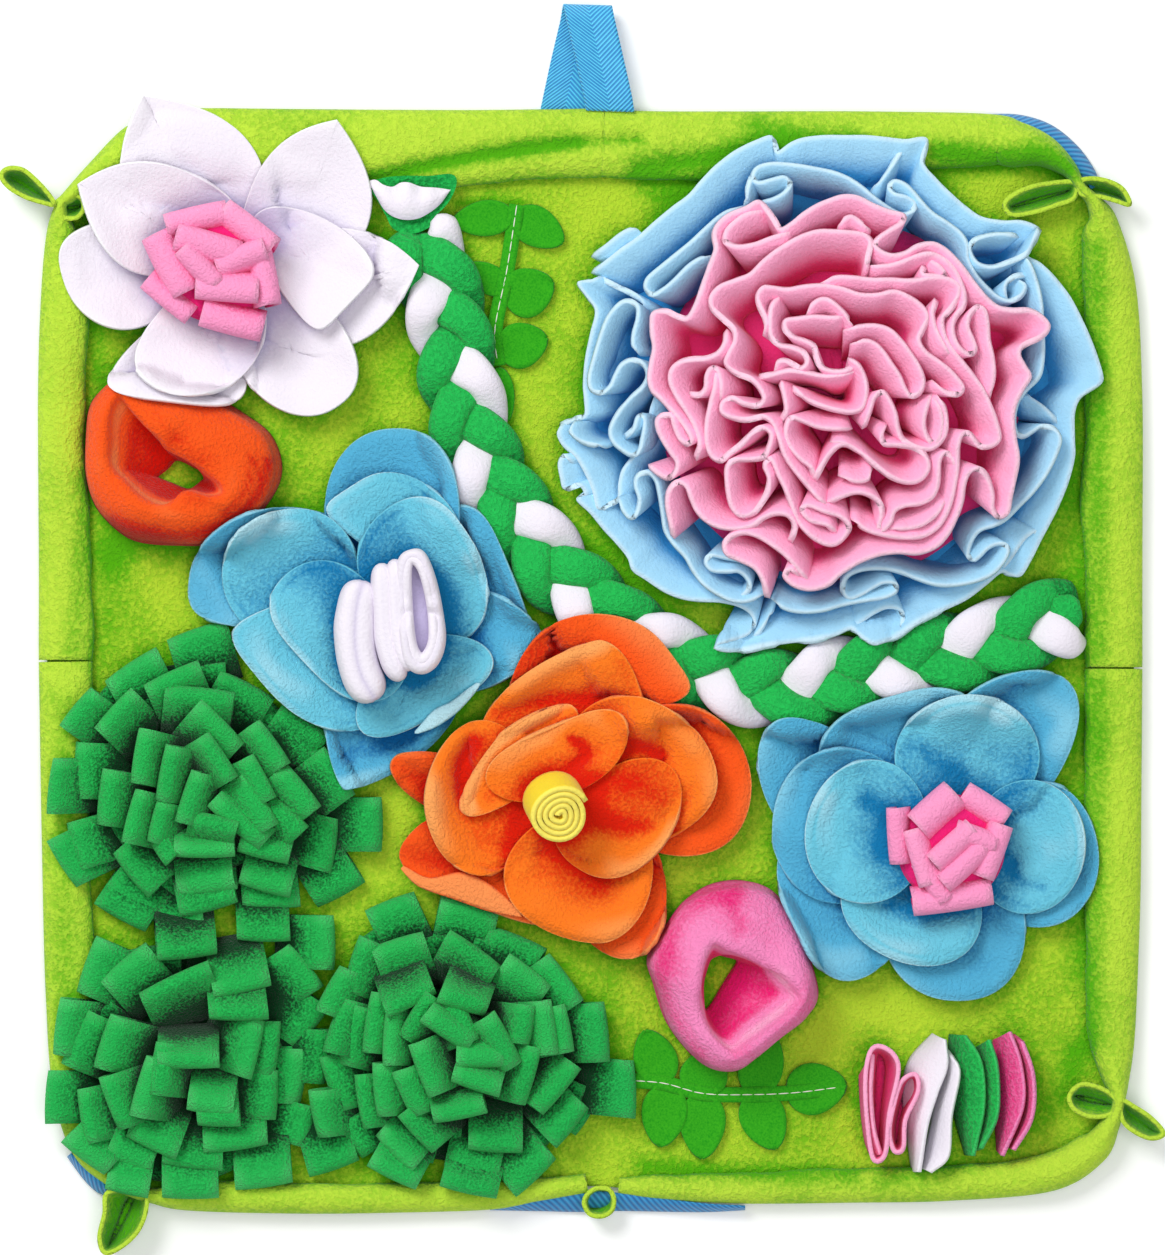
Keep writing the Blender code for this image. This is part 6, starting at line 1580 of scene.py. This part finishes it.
LIGHT_BLUE_FRONT = {
    "top": (969, 813, 965, 694, 145, 0.45, 0.50, -0.02),
    "right": (968, 842, 1083, 850, 134, 0.51, 0.49, 0.0),
    "bottom": (936, 842, 894, 959, 144, 0.63, 0.48, 0.04),
    "left": (926, 843, 805, 823, 144, 0.48, 0.49, 0.04),
}


def turned(outer, inner, lift=0.8, count=60):
    """A petal's edge that has turned up to show its underside, painted pale as a highlight along its crest: a
    crescent between the outer line, where it folds, and the inner line, where its cut edge lies. It is
    rounded across and thin at its ends."""
    a, b = smooth(page(outer), count), smooth(page(inner), count)
    t = np.linspace(0, 1, 9)[None, :]
    s = np.linspace(0, 1, count)[:, None]
    plan = ruled(a, b, t)
    z = support(plan[..., 0], plan[..., 1], 2).max(axis=1, keepdims=True)
    for _ in range(12):
        z[1:-1] = (z[:-2] + 2 * z[1:-1] + z[2:]) / 4
    z = z + 1.5 + lift * np.sin(np.pi * t) ** 0.7 * np.sin(np.pi * s) ** 0.5
    tone = 1.15 - 0.7 * np.abs(2 * t - 1) ** 5 + 0 * s
    return lifted(plan, z, tone)


# outer line, inner line of the edges that show their underside, as page points
TURNED = {
    "petal_blue_front_bottom": ([(416, 733), (436, 726), (455, 713), (472, 695), (480, 683)],
                                [(418, 731), (434, 711), (452, 702), (468, 690), (478, 684)]),
    "petals_orange_back": ([(402, 868), (420, 885), (455, 898), (490, 910), (522, 916)],
                           [(404, 866), (430, 878), (462, 872), (490, 884), (520, 910)]),
}


def layer(name, rows, finish, seed, **form):
    """Petals of one node, from the lowest to the highest, each settled before the next is draped."""
    made = []
    for k, row in enumerate(rows):
        made.append(petal(row, seed + k, folds=name, **form))
        settle(made[-1]["points"], closed=True)
    if name in TURNED:
        made.append(turned(*TURNED[name]))
        settle(made[-1]["points"])
    width = float(np.mean([row[4] for row in rows])) * SQUARE
    cut_from(piece(name, made, finish, upward=True), width, share=0.7)


BACK = {"rise": 6.0, "cup": 3.5, "roll": 2.0, "wave": 1.8}
FRONT = {"level": 9.0, "rise": 8.0, "cup": 5.0, "roll": 3.0, "groove": 1.0}
for k, (where, row) in enumerate(WHITE_PETALS.items()):
    layer("petal_white_" + where, [row], WHITE, 200 + k, level=10.0 if where.startswith("front") else 5.0,
          rise=9.0, cup=4.5, roll=0.6, wave=1.6, flute=0.6)
layer("petals_blue_back", BLUE_BACK, DEEP_BLUE, 220, level=4.5, **BACK)
for k, (where, row) in enumerate(BLUE_FRONT.items()):
    layer("petal_blue_front_" + where, [row], BLUE, 230 + k, wave=1.5, **FRONT)
layer("petals_orange_back", ORANGE_BACK, RED_ORANGE, 250, level=5.0, rise=6.5, cup=3.0, roll=2.2, wave=2.0)
for k, (where, row) in enumerate(ORANGE_FRONT.items()):
    layer("petal_orange_" + where, [row], ORANGE, 260 + k, level=10.0, rise=8.0, cup=5.0, roll=3.0, wave=1.8,
          flute=0.8)
layer("petals_light_blue_back", LIGHT_BLUE_BACK, DEEP_BLUE, 280, level=4.5, **BACK)
for k, (where, row) in enumerate(LIGHT_BLUE_FRONT.items()):
    layer("petal_light_blue_front_" + where, [row], BLUE, 290 + k, wave=1.4, **FRONT)
print("petals:", sum(map(len, (WHITE_PETALS, BLUE_BACK, BLUE_FRONT, ORANGE_BACK, ORANGE_FRONT,
                                   LIGHT_BLUE_BACK, LIGHT_BLUE_FRONT))))

# %% [markdown]
# In the middle of the white and of the light-blue flower sits a bunch of pink loops, folded strips that
# stand on their cut ends, fold upwards. The table gives each fold as it is seen from above: where its
# middle is, how long the fold is, how far its legs are apart, and how it is turned.

# %% Bunches of pink loops
# page u, page v, length of the fold, distance between legs (page squares), turn in degrees on the page
WHITE_BUNCH = [
    (198, 216, 63, 24, -12), (252, 228, 63, 24, 25), (211, 246, 66, 30, 20), (169, 268, 66, 34, 65),
    (270, 274, 66, 26, 75), (230, 291, 63, 28, 0), (234, 326, 63, 28, 8), (170, 302, 57, 18, 35),
    (199, 272, 50, 24, 50), (243, 258, 52, 24, -20),
]
LIGHT_BLUE_BUNCH = [
    (931, 805, 50, 34, -38), (985, 802, 50, 24, 35), (951, 844, 53, 24, -37), (964, 866, 56, 24, -40),
    (893, 835, 56, 20, 82), (918, 856, 58, 20, 78), (994, 851, 56, 24, 110), (951, 900, 80, 26, -10),
    (930, 880, 48, 22, 60), (975, 832, 44, 22, 20),
]


def bunch(table, low, high, seed):
    """Upright loops from the table's rows; the middle ones are the tallest. Between them one sees down on the
    folded cloth at their feet, a low dome painted in deep shade."""
    rows = np.asarray(table, float)
    at = page(rows[:, :2])
    away = np.linalg.norm(at - at.mean(axis=0), axis=1)
    height = high - low - 5.0 * (away / away.max()) ** 2
    broad = np.radians(-rows[:, 4])
    out = np.arctan2(*(at - at.mean(axis=0)).T[::-1])
    turn = broad + np.pi / 2
    turn = np.where(np.cos(turn - out) < 0, turn + np.pi, turn)
    lean = np.radians(10 + 18 * away / away.max())
    foot = np.column_stack([
        at - (np.sin(lean) * height)[:, None] * np.column_stack([np.cos(turn), np.sin(turn)]),
        np.full(len(at), low)])
    made = loops(foot, turn, lean, height, rows[:, 2] * SQUARE, rows[:, 3] * SQUARE - 2.0, seed, columns=9,
                 twist=0.08)
    a = np.linspace(0, 2 * np.pi, 48, endpoint=False)
    share = np.linspace(0.03, 1, 8)[:, None]
    bed = at.mean(axis=0) \
        + (share * away.max() * 0.92)[..., None] * np.stack([np.cos(a), np.sin(a)], -1)[None]
    z = low + (high - low) * (0.52 - 0.25 * share**2) + 0 * bed[..., 0]
    return made + [lifted(bed, z, -0.9, closed=True, capped=True)]


for name, table, low, high, seed in (("loop_bundle_white_flower", WHITE_BUNCH, 22, 40, 61),
                                     ("loop_bundle_light_blue_flower", LIGHT_BLUE_BUNCH, 17, 34, 62)):
    made_loops = bunch(table, low, high, seed)
    made = piece(name, made_loops, PINK_LOOP, thickness=2.4)
    for sheet in made_loops:
        settle(sheet["points"])
    cut_from(made, 28)
    print(name, "has", len(table), "loops")

# %% [markdown]
# A doubled white ribbon is folded back and forth on the blue flower, and a small yellow strip is rolled up
# in the heart of the orange one.

# %% Ribbon and roll
# middle line, width and depth of the middle crease of each layer, as it is seen from above
RIBBON_LAYERS = [
    ([(364, 583), (358, 610), (357, 645), (363, 674), (376, 698)], 16.5, 1.7),
    ([(383, 566), (385, 600), (387, 636), (393, 660), (402, 678)], 8.6, 0.7),
    ([(396, 562), (398, 600), (400, 632), (405, 655), (411, 668)], 7.2, 0.7),
]
RIBBON_BEND = [(402, 562), (412, 553), (424, 555), (434, 578), (441, 610), (444, 640), (437, 662), (423, 671),
               (409, 662), (403, 630), (400, 592)]
RIBBON_SLIT = [(411, 568), (418, 565), (425, 580), (431, 610), (432, 640), (424, 655), (416, 645), (412, 612)]
# the doubled edge seen from above: share of the way from the outline to the slit, share of the height
FOLD_SECTION = [
    (0.00, 0.00), (-0.02, 0.45), (0.00, 0.82), (0.10, 0.95), (0.28, 1.00), (0.43, 0.98), (0.50, 0.90),
    (0.57, 0.98), (0.74, 1.00), (0.90, 0.95), (1.00, 0.82), (1.03, 0.60), (1.30, 0.45),
]


def ridge(line, width, crease, low, high, count=70, seed=0):
    """A folded layer seen on its bend: across it a half ellipse of the given width, along it rounded ends."""
    plan = smooth(page(line), count)
    out = normals_of(plan)
    s = np.linspace(-1, 1, count)[:, None]
    theta = np.linspace(0, np.pi, 15)[None, :]
    end = np.sqrt(np.clip(1 - s**8, 0.02, 1))
    shift = width / 2 * np.cos(theta) * end * (1 + 0.06 * ripple(3 * s + 3, seed))
    z = low + (high - low) * np.sin(theta) ** 0.45 * (0.72 + 0.28 * end) \
        - crease * np.exp(-(shift / (0.5 + crease)) ** 2) * end
    x, y = beside(plan, out, shift)
    # painted light on the crown of the layer, painted shade down its sides and in its middle crease
    tone = 0.6 * np.sin(theta) ** 0.8 - 0.5 - 0.35 * crease * np.exp(-(shift / (0.4 + crease)) ** 2)
    return patch(grid(x, y, z), tone)


walls = [ridge(*row, 26.5, 42.0 + k, seed=70 + k) for k, row in enumerate(RIBBON_LAYERS)]
walls += [ring(RIBBON_BEND, RIBBON_SLIT, RIBBON_SLIT, 26.5, 44.5, 5, profile=FOLD_SECTION)]
# the floor of the slit, painted in deep shade
slit = smooth(page(RIBBON_SLIT), 60, closed=True)
bed = np.stack([np.column_stack([slit.mean(axis=0) + k * (slit - slit.mean(axis=0)), np.full(60, z)])
                for k, z in ((1.25, 36.0), (1.15, 37.5))])
walls.append(patch(bed, -0.75, closed=True, capped=True))
made = piece("ribbon_white_folded", walls, WHITE, thickness=2.5)
for sheet in walls:
    settle(sheet["points"])
cut_from(made, 17)


def roll(middle, radius, turns, pitch, length, lean, low, count=120):
    """A spiral r = radius - pitch * turn, carried along an axis that leans towards the lower right."""
    a = np.linspace(0, turns * 2 * np.pi, count)[:, None]
    t = np.linspace(0, 1, 11)[None, :]
    r = radius - pitch * a / (2 * np.pi) + 0.25 * np.sin(3 * a)
    axis = np.array([math.sin(lean) * 0.50, -math.sin(lean) * 0.87, math.cos(lean)])
    right = np.cross([0, 0, 1.0], axis)
    right /= np.linalg.norm(right)
    up = np.cross(axis, right)
    at = np.array([*page([middle])[0], low])
    points = (at + (length * t)[..., None] * axis + (r * np.cos(a) * np.ones_like(t))[..., None] * right
              + (r * np.sin(a) * np.ones_like(t))[..., None] * up)
    # pale cut edge at the top, with a painted highlight; painted shade deepening towards the low end
    tone = np.where(t > 0.93, 1.0, 0.3 - 0.5 * (1 - t)) * np.ones_like(a)
    return patch(points, tone)


curl = roll((552, 799), 13.3, 4.4, 2.75, 21, math.radians(22), 29.5)
settle(curl["points"])
made = piece("roll_yellow", [curl], YELLOW, thickness=2.3)
cut_from(made, 20)
print("ribbon with", len(RIBBON_LAYERS) + 1, "layers, and one roll")

# %% [markdown]
# Where cloth lies deep between taller cloth less light reaches it, and only after it has bounced off the
# same dye, so it looks deeper and warmer. That shade is painted into the colour here. The height map knows
# how deep each point lies: the mean height round it, less its own. That depth is taken off each point's
# tone as painted shade.

# %% Painted shade in recesses
def blurred(field, reach):
    """Mean over a square of 2 * reach + 1 cells, by running sums along both axes."""
    wide = 2 * reach + 1
    for axis in (0, 1):
        pads = [(reach + 1, reach) if k == axis else (0, 0) for k in (0, 1)]
        total = np.cumsum(np.pad(field, pads, mode="edge"), axis=axis)
        field = (np.take(total, range(wide, total.shape[axis]), axis) -
                 np.take(total, range(0, total.shape[axis] - wide), axis)) / wide
    return field


def paint_recess_shade(near=3, far=9, strength=(0.034, 0.028)):
    """Paints shade into recesses: takes the depth below the near and the far mean height off the tone of
    every finished piece.
    """
    fields = [blurred(HEIGHT, near), blurred(HEIGHT, far)]
    for made in PIECES:
        mesh = made.data
        points = np.empty(len(mesh.vertices) * 3)
        mesh.vertices.foreach_get("co", points)
        points = points.reshape(-1, 3) / MM
        tones = np.empty(len(mesh.vertices))
        mesh.attributes["tone"].data.foreach_get("value", tones)
        row, column = cell(points[:, 0], points[:, 1])
        for field, k in zip(fields, strength):
            tones -= k * np.clip(field[row, column] - points[:, 2] - 0.6, 0, 14)
        mesh.attributes["tone"].data.foreach_set("value", tones)


paint_recess_shade()
print("deepened the tone of", len(PIECES), "pieces")

# %% [markdown]
# The photo looks straight down on the mat from far off, in soft even light that comes a little from the
# upper left, on a white ground. A long lens from 4.8 m keeps the sides of the pile from showing.

# %% Camera, light and floor
SENSOR = 36                     # mm
LENS = 300                      # mm
FLOOR_HALF = 6                  # m
FLOOR_TOP = -0.0005             # m, just below the mat
SURROUND = 0.36                 # strength of the light from all sides


def studio():
    """White floor, one large overhead softbox, a smaller one for shape, and a white surround."""
    scene = bpy.context.scene
    scene.view_settings.view_transform = "Standard"
    mesh = bpy.data.meshes.new("floor")
    corners = [(x * FLOOR_HALF, y * FLOOR_HALF, FLOOR_TOP) for x, y in ((-1, -1), (1, -1), (1, 1), (-1, 1))]
    mesh.from_pydata(corners, [], [(0, 1, 2, 3)])
    floor = bpy.data.objects.new("floor", mesh)
    mesh.materials.append(Finish("floor_white", Base_Color=linear(252, 252, 252), Roughness=0.9,
                                Emission_Color=linear(255, 255, 255), Emission_Strength=0.10).material)
    scene.collection.objects.link(floor)
    for name, place, size, watts, aim in (("softbox", (-1.5, 1.9, 2.6), 1.6, 80, (0, 0, 0)),
                                          ("overhead", (0.6, -0.5, 3.4), 2.6, 46, (0, 0, 0))):
        data = bpy.data.lights.new(name, "AREA")
        data.size, data.energy = size, watts
        lamp = bpy.data.objects.new(name, data)
        lamp.location = place
        away = np.array(place) - aim
        lamp.rotation_euler = (math.acos(away[2] / np.linalg.norm(away)), 0,
                               math.atan2(away[1], away[0]) + math.pi / 2)
        scene.collection.objects.link(lamp)
    world = bpy.data.worlds.new("surround")
    world.use_nodes = True
    world.node_tree.nodes["Background"].inputs[0].default_value = (1, 1, 1, 1)
    world.node_tree.nodes["Background"].inputs[1].default_value = SURROUND
    scene.world = world
    data = bpy.data.cameras.new("camera")
    data.sensor_width, data.sensor_fit, data.lens = SENSOR, "AUTO", LENS
    camera = bpy.data.objects.new("camera", data)
    camera.location = (0, 0, data.lens * PAGE[1] * SQUARE * MM / SENSOR)
    data.clip_end = 30
    scene.collection.objects.link(camera)
    scene.camera = camera


studio()
print("sheets and their cuts, mm:", CUTS)
